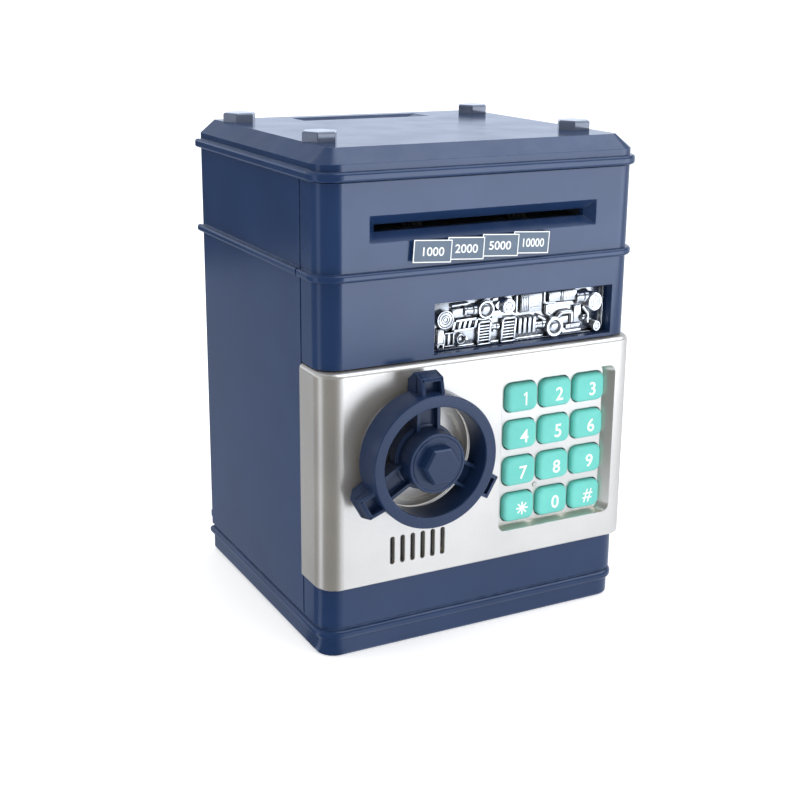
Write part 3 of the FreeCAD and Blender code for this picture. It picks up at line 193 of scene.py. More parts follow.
def eased(points: Outline, radius: float, steps: int = 3) -> Outline:
    """Rounds the inner corners of an open run of points, and keeps its two ends."""
    out = [points[0]]
    for before, here, after in zip(points, points[1:], points[2:]):
        a, b, c = (Vector(p) for p in (before, here, after))
        reach = min(radius, (a - b).length / 2.2, (c - b).length / 2.2)
        start, end = b + (a - b).normalized() * reach, b + (c - b).normalized() * reach
        for k in range(steps + 1):
            t = k / steps
            point = start * (1 - t) ** 2 + b * 2 * t * (1 - t) + end * t ** 2
            out.append((point.x, point.y))
    out.append(points[-1])
    return out


def piped(path: list[Vector], radius: float, steps: int = 12) -> Shape:
    """Draws a round bar along a run of points, mitred where it turns."""
    rings = []
    for k, point in enumerate(path):
        ahead = (path[min(k + 1, len(path) - 1)] - point)
        behind = (point - path[max(k - 1, 0)])
        along = (ahead.normalized() + behind.normalized()).normalized()
        side = along.orthogonal().normalized() if not rings else (side - along * side.dot(along)).normalized()
        up = along.cross(side)
        rings.append([point + side * radius * math.cos(2 * math.pi * i / steps)
                      + up * radius * math.sin(2 * math.pi * i / steps) for i in range(steps)])
    return lofted(rings)


def rounded_ring(half_w: float, half_h: float, radius: float, steps: int = 7) -> Outline:
    """Lists the points of a rounded rectangle about the origin, anticlockwise."""
    radius = max(radius, 0.02)
    ring = []
    for turn, (sx, sy) in enumerate(((1, 1), (-1, 1), (-1, -1), (1, -1))):
        for k in range(steps + 1):
            a = math.pi / 2 * (turn + k / steps)
            ring.append((sx * (half_w - radius) + radius * math.cos(a),
                         sy * (half_h - radius) + radius * math.sin(a)))
    return ring


def polygon(sides: int, flats: float, first_deg: float) -> Outline:
    """Lists the corners of a regular polygon of that width across its flats."""
    corner = flats / 2 / math.cos(math.pi / sides)
    return [(corner * math.cos(math.radians(first_deg) + 2 * math.pi * k / sides),
             corner * math.sin(math.radians(first_deg) + 2 * math.pi * k / sides)) for k in range(sides)]


def lettered(words: str, height: float, thickness: float, weight: float = 0.0) -> Shape:
    """Draws figures in the built-in type, centred on the origin and lying flat.

    Args:
        words: the figures.
        height: height of the tallest figure.
        thickness: how thick the print is.
        weight: how far the strokes are thickened.

    Returns:
        The closed shape.
    """
    curve = bpy.data.curves.new("figures", "FONT")
    curve.body = words
    curve.offset = weight
    curve.extrude = 0.01
    curve.resolution_u = 5
    holder = bpy.data.objects.new("figures", curve)
    bpy.context.scene.collection.objects.link(holder)
    mesh = bpy.data.meshes.new_from_object(holder)
    shape = bmesh.new()
    shape.from_mesh(mesh)
    bpy.data.objects.remove(holder)
    bpy.data.curves.remove(curve)
    bpy.data.meshes.remove(mesh)
    bmesh.ops.remove_doubles(shape, verts=shape.verts[:], dist=1e-5)
    low = [min(v.co[k] for v in shape.verts) for k in range(3)]
    high = [max(v.co[k] for v in shape.verts) for k in range(3)]
    scale = height / (high[1] - low[1])
    for vert in shape.verts:
        vert.co.x = (vert.co.x - (low[0] + high[0]) / 2) * scale
        vert.co.y = (vert.co.y - (low[1] + high[1]) / 2) * scale
        vert.co.z = thickness if vert.co.z > 0 else 0.0
    return shape


def facing_front(x: float, y: float, z: float, turn_deg: float = 0.0) -> Matrix:
    """Places a flat-drawn shape with its top towards the viewer at (x, y, z)."""
    return (Matrix.Translation((x, y, z)) @ Matrix.Rotation(math.pi / 2, 4, "X")
            @ Matrix.Rotation(math.radians(turn_deg), 4, "Z"))


class Workpiece:
    """A mesh under construction in millimetres, gathered from closed shapes."""

    def __init__(self, name: str) -> None:
        """Starts an empty piece of that name."""
        self.name = name
        self.mesh = bpy.data.meshes.new(name)
        self.gathered = bmesh.new()

    def add(self, shape: Shape, place: Matrix | None = None, finish: int = 0) -> None:
        """Takes in a shape and frees it.

        Args:
            shape: the closed shape.
            place: where it goes, or None to leave it.
            finish: index of its finish in the piece's list.
        """
        if place is not None:
            shape.transform(place)
        for face in shape.faces:
            face.material_index = finish
            face.smooth = True
        carrier = bpy.data.meshes.new("carrier")
        shape.to_mesh(carrier)
        shape.free()
        self.gathered.from_mesh(carrier)
        bpy.data.meshes.remove(carrier)

    def done(self, finishes: list[bpy.types.Material], body: str,
             replaces: tuple[str, ...] = (), weighted: bool = True) -> bpy.types.Object:
        """Makes the scene object and hands it to the frame.

        Args:
            finishes: materials in index order.
            body: the body it rides on.
            replaces: the nodes that it stands for.
            weighted: keeps wide faces flat in shading beside their rounded edges.

        Returns:
            The object.
        """
        bmesh.ops.scale(self.gathered, vec=(MM, MM, MM), verts=self.gathered.verts[:])
        self.gathered.to_mesh(self.mesh)
        self.gathered.free()
        self.mesh.set_sharp_from_angle(angle=math.radians(CREASE_DEG))
        for finish in finishes:
            self.mesh.materials.append(finish)
        piece = bpy.data.objects.new(self.name, self.mesh)
        bpy.context.scene.collection.objects.link(piece)
        if weighted:
            piece.modifiers.new("flat_faces", "WEIGHTED_NORMAL").keep_sharp = True
        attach(piece, body)
        if replaces:
            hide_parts(*replaces)
        log.info("%s: %d faces on %s", self.name, len(self.mesh.polygons), body)
        return piece


# ---- shader wiring ---------------------------------------------------------------------------


class Wiring:
    """Places and joins the nodes of one tree."""

    def __init__(self, tree: bpy.types.NodeTree) -> None:
        """Takes the tree to work in."""
        self.tree = tree

    def node(self, kind: str, values: dict[str, object] | None = None, **settings: object) -> bpy.types.Node:
        """Adds a node.

        Args:
            kind: the node's type without its ShaderNode prefix.
            values: input values or output sockets to join, by input name or index.
            settings: properties of the node.

        Returns:
            The node.
        """
        made = self.tree.nodes.new("ShaderNode" + kind if not kind.startswith("Node") else kind)
        for key, value in settings.items():
            setattr(made, key, value)
        for key, value in (values or {}).items():
            if isinstance(value, bpy.types.NodeSocket):
                self.tree.links.new(value, made.inputs[key])
            else:
                made.inputs[key].default_value = value
        return made

    def maths(self, operation: str, *values: object) -> bpy.types.NodeSocket:
        """Adds a Math node and returns its output."""
        return self.node("Math", dict(enumerate(values)), operation=operation).outputs[0]

    def span(self, value: object, low: float, high: float, to_low: float = 0.0,
             to_high: float = 1.0) -> bpy.types.NodeSocket:
        """Maps a value from one clamped range to another."""
        return self.node("MapRange", {"Value": value, "From Min": low, "From Max": high,
                                      "To Min": to_low, "To Max": to_high}).outputs["Result"]

    def blend(self, share: object, a: object, b: object) -> bpy.types.NodeSocket:
        """Mixes two colours and returns the result."""
        mix = self.node("Mix", data_type="RGBA")
        for index, value in ((0, share), (6, a), (7, b)):
            if isinstance(value, bpy.types.NodeSocket):
                self.tree.links.new(value, mix.inputs[index])
            else:
                mix.inputs[index].default_value = value
        return mix.outputs[2]

    def noise(self, place: object, scale: object, detail: float = 2.0) -> bpy.types.NodeSocket:
        """Adds a noise pattern and returns its value."""
        return self.node("TexNoise", {"Vector": place, "Scale": scale, "Detail": detail}).outputs[0]


def open_group(name: str, inputs: dict[str, float], outputs: dict[str, str]) -> tuple[
        bpy.types.NodeTree, Wiring, bpy.types.Node, bpy.types.Node]:
    """Starts a shader node group.

    Args:
        name: the group's name.
        inputs: each input's name and default number.
        outputs: each output's name and kind, Float or Color.

    Returns:
        The group, its wiring, its input node and its output node.
    """
    tree = bpy.data.node_groups.new(name, "ShaderNodeTree")
    for key, value in inputs.items():
        tree.interface.new_socket(name=key, in_out="INPUT",
                                  socket_type="NodeSocketFloat").default_value = value
    for key, kind in outputs.items():
        tree.interface.new_socket(name=key, in_out="OUTPUT", socket_type="NodeSocket" + kind)
    wiring = Wiring(tree)
    return tree, wiring, wiring.node("NodeGroupInput"), wiring.node("NodeGroupOutput")


class Effects:
    """The node groups that the finishes share, each built once."""

    def __init__(self) -> None:
        """Builds every group."""
        self.drift = self._drift()
        self.skin = self._skin()
        self.gloss = self._gloss()
        self.edge_wear_and_painted_light = self._edge_wear_and_painted_light()
        self.dust = self._dust()
        self.flake = self._flake()
        self.brushed = self._brushed()

    @staticmethod
    def _drift() -> bpy.types.NodeTree:
        """Slow change of tone over a moulding, with fine specks."""
        tree, w, given, out = open_group("tone_drift", {"Scale": 40.0, "Specks": 0.2}, {"Mask": "Float"})
        place = w.node("TexCoord").outputs["Object"]
        slow = w.span(w.noise(place, given.outputs["Scale"], 3.0), 0.32, 0.68)
        fine = w.span(w.noise(place, w.maths("MULTIPLY", given.outputs["Scale"], 45.0), 2.0), 0.35, 0.75)
        mixed = w.maths("ADD", w.maths("MULTIPLY", fine, given.outputs["Specks"]),
                        w.maths("MULTIPLY", slow, w.maths("SUBTRACT", 1.0, given.outputs["Specks"])))
        tree.links.new(mixed, out.inputs["Mask"])
        return tree

    @staticmethod
    def _skin() -> bpy.types.NodeTree:
        """Moulded skin: a slow ripple and a fine grain, as a height in millimetres."""
        tree, w, given, out = open_group(
            "moulded_skin", {"Ripple Scale": 300.0, "Ripple Depth": 0.004, "Grain Scale": 3500.0,
                             "Grain Depth": 0.001}, {"Height": "Float"})
        place = w.node("TexCoord").outputs["Object"]
        ripple = w.maths("MULTIPLY", w.noise(place, given.outputs["Ripple Scale"], 1.0),
                         given.outputs["Ripple Depth"])
        grain = w.maths("MULTIPLY", w.noise(place, given.outputs["Grain Scale"], 2.0),
                        given.outputs["Grain Depth"])
        tree.links.new(w.maths("ADD", ripple, grain), out.inputs["Height"])
        return tree

    @staticmethod
    def _gloss() -> bpy.types.NodeTree:
        """Roughness that changes with handling marks and hairline scratches."""
        tree, w, given, out = open_group("gloss_drift", {"Roughness": 0.3, "Spread": 0.08, "Scale": 55.0},
                                         {"Roughness": "Float"})
        place = w.node("TexCoord").outputs["Object"]
        marks = w.span(w.noise(place, given.outputs["Scale"], 5.0), 0.35, 0.7, -0.5, 0.5)
        bent = w.node("Mapping", {"Vector": place, "Rotation": (0.3, 0.9, 0.5), "Scale": (1.0, 22.0, 14.0)})
        hair = w.span(w.noise(bent.outputs[0], 90.0, 2.0), 0.66, 0.74, 0.0, 0.25)
        swing = w.maths("MULTIPLY", w.maths("ADD", marks, hair), given.outputs["Spread"])
        tree.links.new(w.maths("ADD", given.outputs["Roughness"], swing), out.inputs["Roughness"])
        return tree

    @staticmethod
    def _edge_wear_and_painted_light() -> bpy.types.NodeTree:
        """Mask of rounded edges, where the rounded normal leaves the flat one: used for edge wear and for
        painted edge highlights and painted edge shade.
        """
        tree, w, given, out = open_group("edge_wear_and_painted_light_mask", {"Breakup": 260.0, "Amount": 0.6}, {"Mask": "Float"})
        place = w.node("TexCoord").outputs["Object"]
        rounded = w.node("Bevel", {"Radius": 0.0007}, samples=4).outputs[0]
        flat = w.node("NewGeometry").outputs["Normal"]
        agree = w.node("VectorMath", {0: rounded, 1: flat}, operation="DOT_PRODUCT").outputs["Value"]
        edge = w.span(agree, 0.985, 0.86)
        patches = w.span(w.noise(place, given.outputs["Breakup"], 4.0), 0.38, 0.62)
        mask = w.maths("MULTIPLY", w.maths("MULTIPLY", edge, patches), given.outputs["Amount"])
        tree.links.new(mask, out.inputs["Mask"])
        return tree

    @staticmethod
    def _dust() -> bpy.types.NodeTree:
        """Light dust on faces that look up, thin and uneven."""
        tree, w, given, out = open_group("settled_dust", {"Amount": 0.15, "Scale": 120.0}, {"Mask": "Float"})
        place = w.node("TexCoord").outputs["Object"]
        up = w.node("SeparateXYZ", {0: w.node("NewGeometry").outputs["Normal"]}).outputs["Z"]
        laid = w.span(up, 0.55, 0.98)
        cloud = w.span(w.noise(place, given.outputs["Scale"], 5.0), 0.4, 0.75)
        tree.links.new(w.maths("MULTIPLY", w.maths("MULTIPLY", laid, cloud), given.outputs["Amount"]),
                       out.inputs["Mask"])
        return tree

    @staticmethod
    def _flake() -> bpy.types.NodeTree:
        """Metal flake in paint: each tiny cell has its own brightness."""
        tree, w, given, out = open_group("metal_flake", {"Scale": 5200.0, "Spread": 1.0}, {"Value": "Float"})
        place = w.node("TexCoord").outputs["Object"]
        cells = w.node("TexVoronoi", {"Vector": place, "Scale": given.outputs["Scale"]})
        grey = w.node("SeparateColor", {0: cells.outputs["Color"]}).outputs[0]
        centred = w.maths("MULTIPLY", w.maths("SUBTRACT", grey, 0.5), given.outputs["Spread"])
        tree.links.new(w.maths("ADD", centred, 0.5), out.inputs["Value"])
        return tree

    @staticmethod
    def _brushed() -> bpy.types.NodeTree:
        """Fine drawn lines along X, as a height in millimetres and a tone."""
        tree, w, given, out = open_group("drawn_lines", {"Scale": 900.0, "Depth": 0.004},
                                         {"Height": "Float", "Mask": "Float"})
        place = w.node("TexCoord").outputs["Object"]
        drawn = w.node("Mapping", {"Vector": place, "Scale": (0.04, 1.0, 1.0)}).outputs[0]
        lines = w.noise(drawn, given.outputs["Scale"], 3.0)
        tree.links.new(w.maths("MULTIPLY", lines, given.outputs["Depth"]), out.inputs["Height"])
        tree.links.new(w.span(lines, 0.35, 0.65), out.inputs["Mask"])
        return tree


# ---- finishes --------------------------------------------------------------------------------


def rgba(colour: Colour) -> tuple[float, float, float, float]:
    """Adds full opacity to a colour."""
    return (*colour, 1.0)


@dataclass(frozen=True)
class Finish:
    """A moulded, painted or machined surface with drift, an edge tone for wear and for painted edge light,
    dust and skin.
    """

    name: str
    tone: Colour
    shade: Colour
    roughness: float = 0.35
    spread: float = 0.08
    metallic: float = 0.0
    coat: float = 0.0
    coat_roughness: float = 0.1
    ior: float = 1.5
    subsurface: float = 0.0
    drift_scale: float = 40.0
    specks: float = 0.15
    ripple_scale: float = 300.0
    ripple_depth: float = 0.004
    grain_scale: float = 3500.0
    grain_depth: float = 0.0008
    edge_wear_and_painted_light: float = 0.0
    edge_wear_and_painted_light_tone: Colour = (0.5, 0.5, 0.5)
    dust: float = 0.0
    edge_mm: float = 0.0
    lines: float = 0.0

    def group(self, w: Wiring, tree: bpy.types.NodeTree, values: dict[str, object]) -> bpy.types.Node:
        """Places a shared group with this finish's values."""
        node = w.node("Group", node_tree=tree)
        for key, value in values.items():
            if isinstance(value, bpy.types.NodeSocket):
                w.tree.links.new(value, node.inputs[key])
            else:
                node.inputs[key].default_value = value
        return node

    def colour(self, w: Wiring, effects: Effects) -> bpy.types.NodeSocket:
        """Wires the base colour: two tones, the edge tone and dust; the edge tone is wear on steel and inner
        plastic, a painted highlight on navy and keys, and painted shade on the bolts.
        """
        drift = self.group(w, effects.drift, {"Scale": self.drift_scale, "Specks": self.specks})
        base = w.blend(drift.outputs["Mask"], rgba(self.tone), rgba(self.shade))
        # edge tone: worn edges on steel and inner plastic, painted edge highlights on navy and keys, painted
        # edge shade on bolts, darker edges on the silver door
        if self.edge_wear_and_painted_light > 0.0:
            edge_wear_and_painted_light = self.group(w, effects.edge_wear_and_painted_light, {"Amount": self.edge_wear_and_painted_light})
            base = w.blend(edge_wear_and_painted_light.outputs["Mask"], base, rgba(self.edge_wear_and_painted_light_tone))
        if self.dust > 0.0:
            dust = self.group(w, effects.dust, {"Amount": self.dust})
            base = w.blend(dust.outputs["Mask"], base, (0.6, 0.6, 0.58, 1.0))
        return base

    def height(self, w: Wiring, effects: Effects) -> bpy.types.NodeSocket:
        """Wires the surface height in millimetres."""
        skin = self.group(w, effects.skin, {"Ripple Scale": self.ripple_scale,
                                            "Ripple Depth": self.ripple_depth,
                                            "Grain Scale": self.grain_scale, "Grain Depth": self.grain_depth})
        height = skin.outputs["Height"]
        if self.lines > 0.0:
            drawn = self.group(w, effects.brushed, {"Depth": self.lines})
            height = w.maths("ADD", height, drawn.outputs["Height"])
        return height

    def build(self, effects: Effects) -> bpy.types.Material:
        """Makes the material.

        Args:
            effects: the shared node groups.

        Returns:
            The material.
        """
        material = bpy.data.materials.new(self.name)
        material.use_nodes = True
        w = Wiring(material.node_tree)
        shader = material.node_tree.nodes["Principled BSDF"]
        for key, value in {"Metallic": self.metallic, "IOR": self.ior, "Coat Weight": self.coat,
                           "Coat Roughness": self.coat_roughness, "Subsurface Weight": self.subsurface,
                           "Subsurface Scale": 0.002}.items():
            shader.inputs[key].default_value = value
        w.tree.links.new(self.colour(w, effects), shader.inputs["Base Color"])
        gloss = self.group(w, effects.gloss, {"Roughness": self.roughness, "Spread": self.spread})
        w.tree.links.new(gloss.outputs["Roughness"], shader.inputs["Roughness"])
        bump = w.node("Bump", {"Strength": 1.0, "Distance": MM, "Height": self.height(w, effects)})
        if self.edge_mm > 0.0:
            rounded = w.node("Bevel", {"Radius": self.edge_mm * MM}, samples=4)
            w.tree.links.new(rounded.outputs[0], bump.inputs["Normal"])
        w.tree.links.new(bump.outputs[0], shader.inputs["Normal"])
        return material


@dataclass(frozen=True)
class FlakePaint(Finish):
    """Silver paint whose flakes vary in brightness."""

    flake_scale: float = 5200.0

    def colour(self, w: Wiring, effects: Effects) -> bpy.types.NodeSocket:
        """Wires the paint's tones with the flakes over them."""
        base = super().colour(w, effects)
        flake = self.group(w, effects.flake, {"Scale": self.flake_scale, "Spread": 0.5})
        return w.blend(w.span(flake.outputs["Value"], 0.25, 0.75, 0.0, 0.22), base, rgba(self.shade))


@dataclass(frozen=True)
class PlatedFinish(Finish):
    """Bright plating over a moulding, with painted shade darkening it where the recesses are deep."""

    recess_shade: Colour = (0.28, 0.28, 0.28)
    reach_mm: float = 1.5

    def colour(self, w: Wiring, effects: Effects) -> bpy.types.NodeSocket:
        """Wires the plating's tone and the painted shade in its recesses."""
        base = super().colour(w, effects)
        # painted shade: ambient occlusion blends the recess colour into the deep parts of the relief
        open_air = w.node("AmbientOcclusion", {"Distance": self.reach_mm * MM}, samples=8).outputs["AO"]
        return w.blend(w.span(open_air, 0.35, 0.8), rgba(self.recess_shade), base)


@dataclass(frozen=True)
class BoardFinish(Finish):
    """Circuit board: green mask with paler copper tracks."""

    track: Colour = (0.09, 0.26, 0.09)

    def colour(self, w: Wiring, effects: Effects) -> bpy.types.NodeSocket:
        """Wires the mask's tone and the tracks over it."""
        base = super().colour(w, effects)
        place = w.node("TexCoord").outputs["Object"]
        bricks = w.node("TexBrick", {"Vector": w.node("Mapping",
                                                      {"Vector": place, "Rotation": (1.5708, 0.0, 0.0)}
                                                      ).outputs[0],
                                     "Scale": 160.0, "Mortar Size": 0.035, "Brick Width": 0.9,
                                     "Row Height": 0.35})
        return w.blend(bricks.outputs["Fac"], base, rgba(self.track))


NAVY_TONE: Colour = (0.013, 0.033, 0.095)
NAVY_SHADE: Colour = (0.010, 0.027, 0.080)
# painted shade: the wheel's tones are a darker copy of the case navy, standing in for the shade on the wheel
WHEEL_TONE: Colour = (0.009, 0.024, 0.070)
WHEEL_SHADE: Colour = (0.007, 0.020, 0.060)


class FinishKind(Enum):
    """Every finish on the bank."""

    # painted highlight: the lighter edge tone stands in for reflections along the case's edges
    NAVY = Finish("navy_plastic", NAVY_TONE, NAVY_SHADE, roughness=0.19, spread=0.04, specks=0.04,
                  ripple_depth=0.012, ripple_scale=60.0, grain_depth=0.00002, edge_wear_and_painted_light=0.35,
                  edge_wear_and_painted_light_tone=(0.10, 0.15, 0.27), dust=0.05, edge_mm=0.35)
    # painted shade in its darker tones; its lighter edge tone is a painted highlight, as on the case
    NAVY_WHEEL_SHADED = Finish("navy_plastic_wheel", WHEEL_TONE, WHEEL_SHADE, roughness=0.3, spread=0.08,
                        ripple_depth=0.003, edge_wear_and_painted_light=0.3, edge_wear_and_painted_light_tone=(0.10, 0.15, 0.27), dust=0.04)
    SILVER = FlakePaint("silver_paint", (0.83, 0.77, 0.67), (0.71, 0.66, 0.58), roughness=0.32, spread=0.04,
                        metallic=0.82, ripple_depth=0.003, edge_wear_and_painted_light=0.6, edge_wear_and_painted_light_tone=(0.34, 0.34, 0.33), edge_mm=0.3,
                        specks=0.4)
    # painted highlight: the lighter edge tone brightens the keys' edges as if lit
    TEAL = Finish("key_teal", (0.155, 0.60, 0.53), (0.12, 0.52, 0.46), roughness=0.42, spread=0.1,
                  subsurface=0.12, specks=0.35, drift_scale=90.0, ripple_depth=0.002, grain_depth=0.003,
                  grain_scale=2500.0, edge_wear_and_painted_light=0.25, edge_wear_and_painted_light_tone=(0.45, 0.85, 0.78))
    PLATED = PlatedFinish("plated_relief", (0.84, 0.83, 0.80), (0.70, 0.70, 0.68), roughness=0.22, spread=0.1,
                          metallic=1.0, ripple_depth=0.006, ripple_scale=500.0, specks=0.3)
    # painted shade: the edge tone darkens the bolt heads' edges almost to black
    BOLT = Finish("bolt_plastic", (0.10, 0.12, 0.17), (0.07, 0.09, 0.14), roughness=0.14, spread=0.08,
                  coat=0.6, coat_roughness=0.05, ior=1.6, edge_wear_and_painted_light=0.95, edge_wear_and_painted_light_tone=(0.006, 0.012, 0.03),
                  ripple_depth=0.006)
    INNER = Finish("inner_plastic", (0.055, 0.060, 0.068), (0.042, 0.046, 0.054), roughness=0.48, spread=0.1,
                   grain_depth=0.004, grain_scale=2200.0, edge_wear_and_painted_light=0.25, edge_wear_and_painted_light_tone=(0.16, 0.17, 0.18), edge_mm=0.25)
    STEEL = Finish("steel", (0.56, 0.56, 0.55), (0.42, 0.42, 0.42), roughness=0.28, spread=0.14, metallic=1.0,
                   lines=0.004, edge_wear_and_painted_light=0.3, edge_wear_and_painted_light_tone=(0.75, 0.75, 0.74), edge_mm=0.15)
    RUBBER = Finish("roller_rubber", (0.025, 0.025, 0.026), (0.018, 0.018, 0.019), roughness=0.75, spread=0.1,
                    grain_depth=0.012, grain_scale=1600.0, dust=0.2)
    # painted shade: the membrane is near black so the gaps round the keys read as shadow
    MEMBRANE_PAINTED_SHADE = Finish("silicone", (0.020, 0.024, 0.024), (0.014, 0.018, 0.018), roughness=0.6,
                      subsurface=0.02, grain_depth=0.004)
    GEAR = Finish("gear_plastic", (0.74, 0.72, 0.64), (0.64, 0.61, 0.53), roughness=0.45, subsurface=0.1,
                  grain_depth=0.003, edge_mm=0.12)
    BOARD = BoardFinish("circuit_board", (0.018, 0.12, 0.045), (0.012, 0.09, 0.035), roughness=0.35, coat=0.3)
    CELL = Finish("cell_wrap", (0.055, 0.056, 0.065), (0.035, 0.036, 0.045), roughness=0.3, coat=0.4,
                  lines=0.003)
    LAMP = Finish("lamp_lens", (0.62, 0.63, 0.60), (0.50, 0.51, 0.49), roughness=0.12, spread=0.05, coat=0.8,
                  subsurface=0.2)
    INK = Finish("white_ink", (0.90, 0.92, 0.91), (0.82, 0.85, 0.85), roughness=0.45, specks=0.5,
                 grain_depth=0.002, drift_scale=200.0)
    FIELD = Finish("label_field", (0.105, 0.145, 0.195), (0.09, 0.125, 0.175), roughness=0.4, specks=0.4,
                   grain_depth=0.002, drift_scale=200.0)


class Palette:
    """The built materials, by finish."""

    def __init__(self) -> None:
        """Builds every finish once."""
        effects = Effects()
        self.made = {kind: kind.value.build(effects) for kind in FinishKind}

    def __getitem__(self, kind: FinishKind) -> bpy.types.Material:
        """Gives the material of a finish."""
        return self.made[kind]


# ---- sub-assemblies --------------------------------------------------------------------------


@dataclass
class Casework:
    """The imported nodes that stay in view, dressed in their finishes."""

    finishes: dict[FinishKind, tuple[str, ...]] = field(default_factory=lambda: {
        FinishKind.NAVY: ("base", "front_shell", "rear_shell", "lid", "battery_cover"),
        FinishKind.SILVER: ("door_panel",),
        FinishKind.INNER: ("door_liner", "latch_cover", "coin_chute", "note_guide", "speaker", "money_floor"),
        FinishKind.RUBBER: ("feed_rollers", "pinch_rollers"),
        FinishKind.MEMBRANE_PAINTED_SHADE: ("keypad_membrane",),
        FinishKind.GEAR: ("drive_gear", "motor_pinion", "latch_pinion", "latch_bolt"),
        FinishKind.BOARD: ("main_board", "keypad_board"),
        FinishKind.CELL: ("batteries",),
        FinishKind.LAMP: ("keypad_lamp",),
    })
    remaining: FinishKind = FinishKind.STEEL

    def dress(self, palette: Palette) -> None:
        """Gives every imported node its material; the rest are steel."""
        kind_of = {node: kind for kind, nodes in self.finishes.items() for node in nodes}
        for name, node in frame["nodes"].items():
            kind = kind_of.get(name, self.remaining)
            node.data.materials.clear()
            node.data.materials.append(palette[kind])
            for face in node.data.polygons:
                face.material_index = 0
            log.info("%s: %s", name, kind.value.name)


@dataclass
class Handwheel:
    """Three-lugged handwheel with a hollow rim, a stepped hub, channelled spokes and a hex cap."""

    back: float = 3.0
    front: float = 15.0
    rim_out: float = 24.3
    rim_in: float = 20.1
    hub_r: float = 10.9
    hub_front: float = 15.8
    foot_r: float = 12.2
    foot_top: float = 7.0
    lug_angles: tuple[float, ...] = (90.0, 210.0, 330.0)
    lug_w: float = 8.8
    lug_outline: tuple[tuple[float, float], ...] = (
        (22.6, 1.0), (27.6, 1.0), (31.1, 5.8), (29.7, 10.9), (22.6, 12.8))
    lug_wall: float = 1.3
    pocket_floor: float = 8.4
    spoke_w: float = 9.4
    spoke_top: float = 9.0
    spoke_floor: float = 6.6
    spoke_wall: float = 1.4
    cap_flats: float = 12.6
    cap_h: float = 4.2

    def axle(self) -> Matrix:
        """Gives the wheel's place: drawn upright about the origin, it faces the viewer on its axle."""
        joint = next(j for j in frame["joints"] if j["name"] == "wheel_turn")
        x, _, z = (v / MM for v in joint["pos_m"])
        door_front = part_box("handwheel")[0].y / MM + self.hub_front
        return facing_front(x, door_front, z)

    def rim(self, palette: Palette) -> None:
        """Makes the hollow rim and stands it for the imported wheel."""
        piece = Workpiece("wheel_rim")
        wall = eased([(self.rim_in, self.back + 2.0), (self.rim_in, self.back), (self.rim_out, self.back),
                      (self.rim_out, self.front), (self.rim_in, self.front), (self.rim_in, self.back + 2.0)],
                     0.55, 4)
        piece.add(turned(wall[:-1], 120), self.axle())
        piece.done([palette[FinishKind.NAVY_WHEEL_SHADED]], Body.WHEEL.value, ("handwheel",))

    def lug_side(self, low: float, inset: float) -> Outline:
        """Gives the part of the lug's outline above a height, drawn in at its outer end."""
        (_, _), (_, _), (peak_r, peak_z), (end_r, end_z), (root_r, root_z) = self.lug_outline
        at_low = peak_r + (end_r - peak_r) * (low - peak_z) / (end_z - peak_z)
        return [(root_r, low), (at_low - inset, low), (end_r - inset, end_z), (root_r, root_z)]

    def lugs(self, palette: Palette) -> None:
        """Makes each grip lug as a shell with a pocket in its front."""
        half, wall, floor = self.lug_w / 2, self.lug_wall, self.pocket_floor
        lying = Matrix(((1, 0, 0, 0), (0, 0, 1, 0), (0, 1, 0, 0), (0, 0, 0, 1)))
        for index, angle in enumerate(self.lug_angles, 1):
            piece = Workpiece(f"wheel_lug_{index}")
            turn = self.axle() @ Matrix.Rotation(math.radians(angle), 4, "Z") @ lying
            (r0, z0), (r1, z1), (r2, z2), _, _ = self.lug_outline
            root = self.lug_side(floor, 0.0)
            piece.add(prism([(r0, z0), (r1, z1), (r2, z2), root[1], root[0]], -half, half, 0.28), turn)
            side = self.lug_side(floor - 1.2, 0.0)
            for low, high in ((-half, -half + wall), (half - wall, half)):
                piece.add(prism(side, low, high, 0.22), turn)
            (_, low_z), (low_r, _), (end_r, end_z), _ = side
            lip = end_z + wall * (self.lug_outline[4][1] - end_z) / (end_r - r0)
            end = [(end_r - wall, low_z), (low_r, low_z), (end_r, end_z), (end_r - wall, lip)]
            piece.add(prism(end, -half + 0.25, half - 0.25, 0.15), turn)
            piece.done([palette[FinishKind.NAVY_WHEEL_SHADED]], Body.WHEEL.value)

    def spokes(self, palette: Palette) -> None:
        """Makes each spoke as a channel between two ribs."""
        for index, angle in enumerate(self.lug_angles, 1):
            piece = Workpiece(f"wheel_spoke_{index}")
            turn = self.axle() @ Matrix.Rotation(math.radians(angle), 4, "Z")
            run = (self.hub_r - 1.0, self.rim_in + 0.6)
            half = self.spoke_w / 2
            piece.add(slab(run, (-half + 0.4, half - 0.4), (self.back, self.spoke_floor), 0.2), turn)
            for low, high in ((-half, -half + self.spoke_wall), (half - self.spoke_wall, half)):
                piece.add(slab(run, (low, high), (self.back, self.spoke_top), 0.25), turn)
            piece.done([palette[FinishKind.NAVY_WHEEL_SHADED]], Body.WHEEL.value)

    def hub(self, palette: Palette) -> None:
        """Makes the stepped hub with a fine groove round its face."""
        piece = Workpiece("wheel_hub")
        run = [(0.0, self.back - 0.6), (self.foot_r, self.back - 0.6), (self.foot_r, self.foot_top),
               (self.hub_r, self.foot_top), (self.hub_r, self.hub_front), (self.hub_r - 1.0, self.hub_front),
               (self.hub_r - 1.2, self.hub_front - 0.25), (self.hub_r - 1.5, self.hub_front),
               (0.0, self.hub_front)]
        piece.add(turned(eased(run, 0.4), 96), self.axle())
        piece.done([palette[FinishKind.NAVY_WHEEL_SHADED]], Body.WHEEL.value)

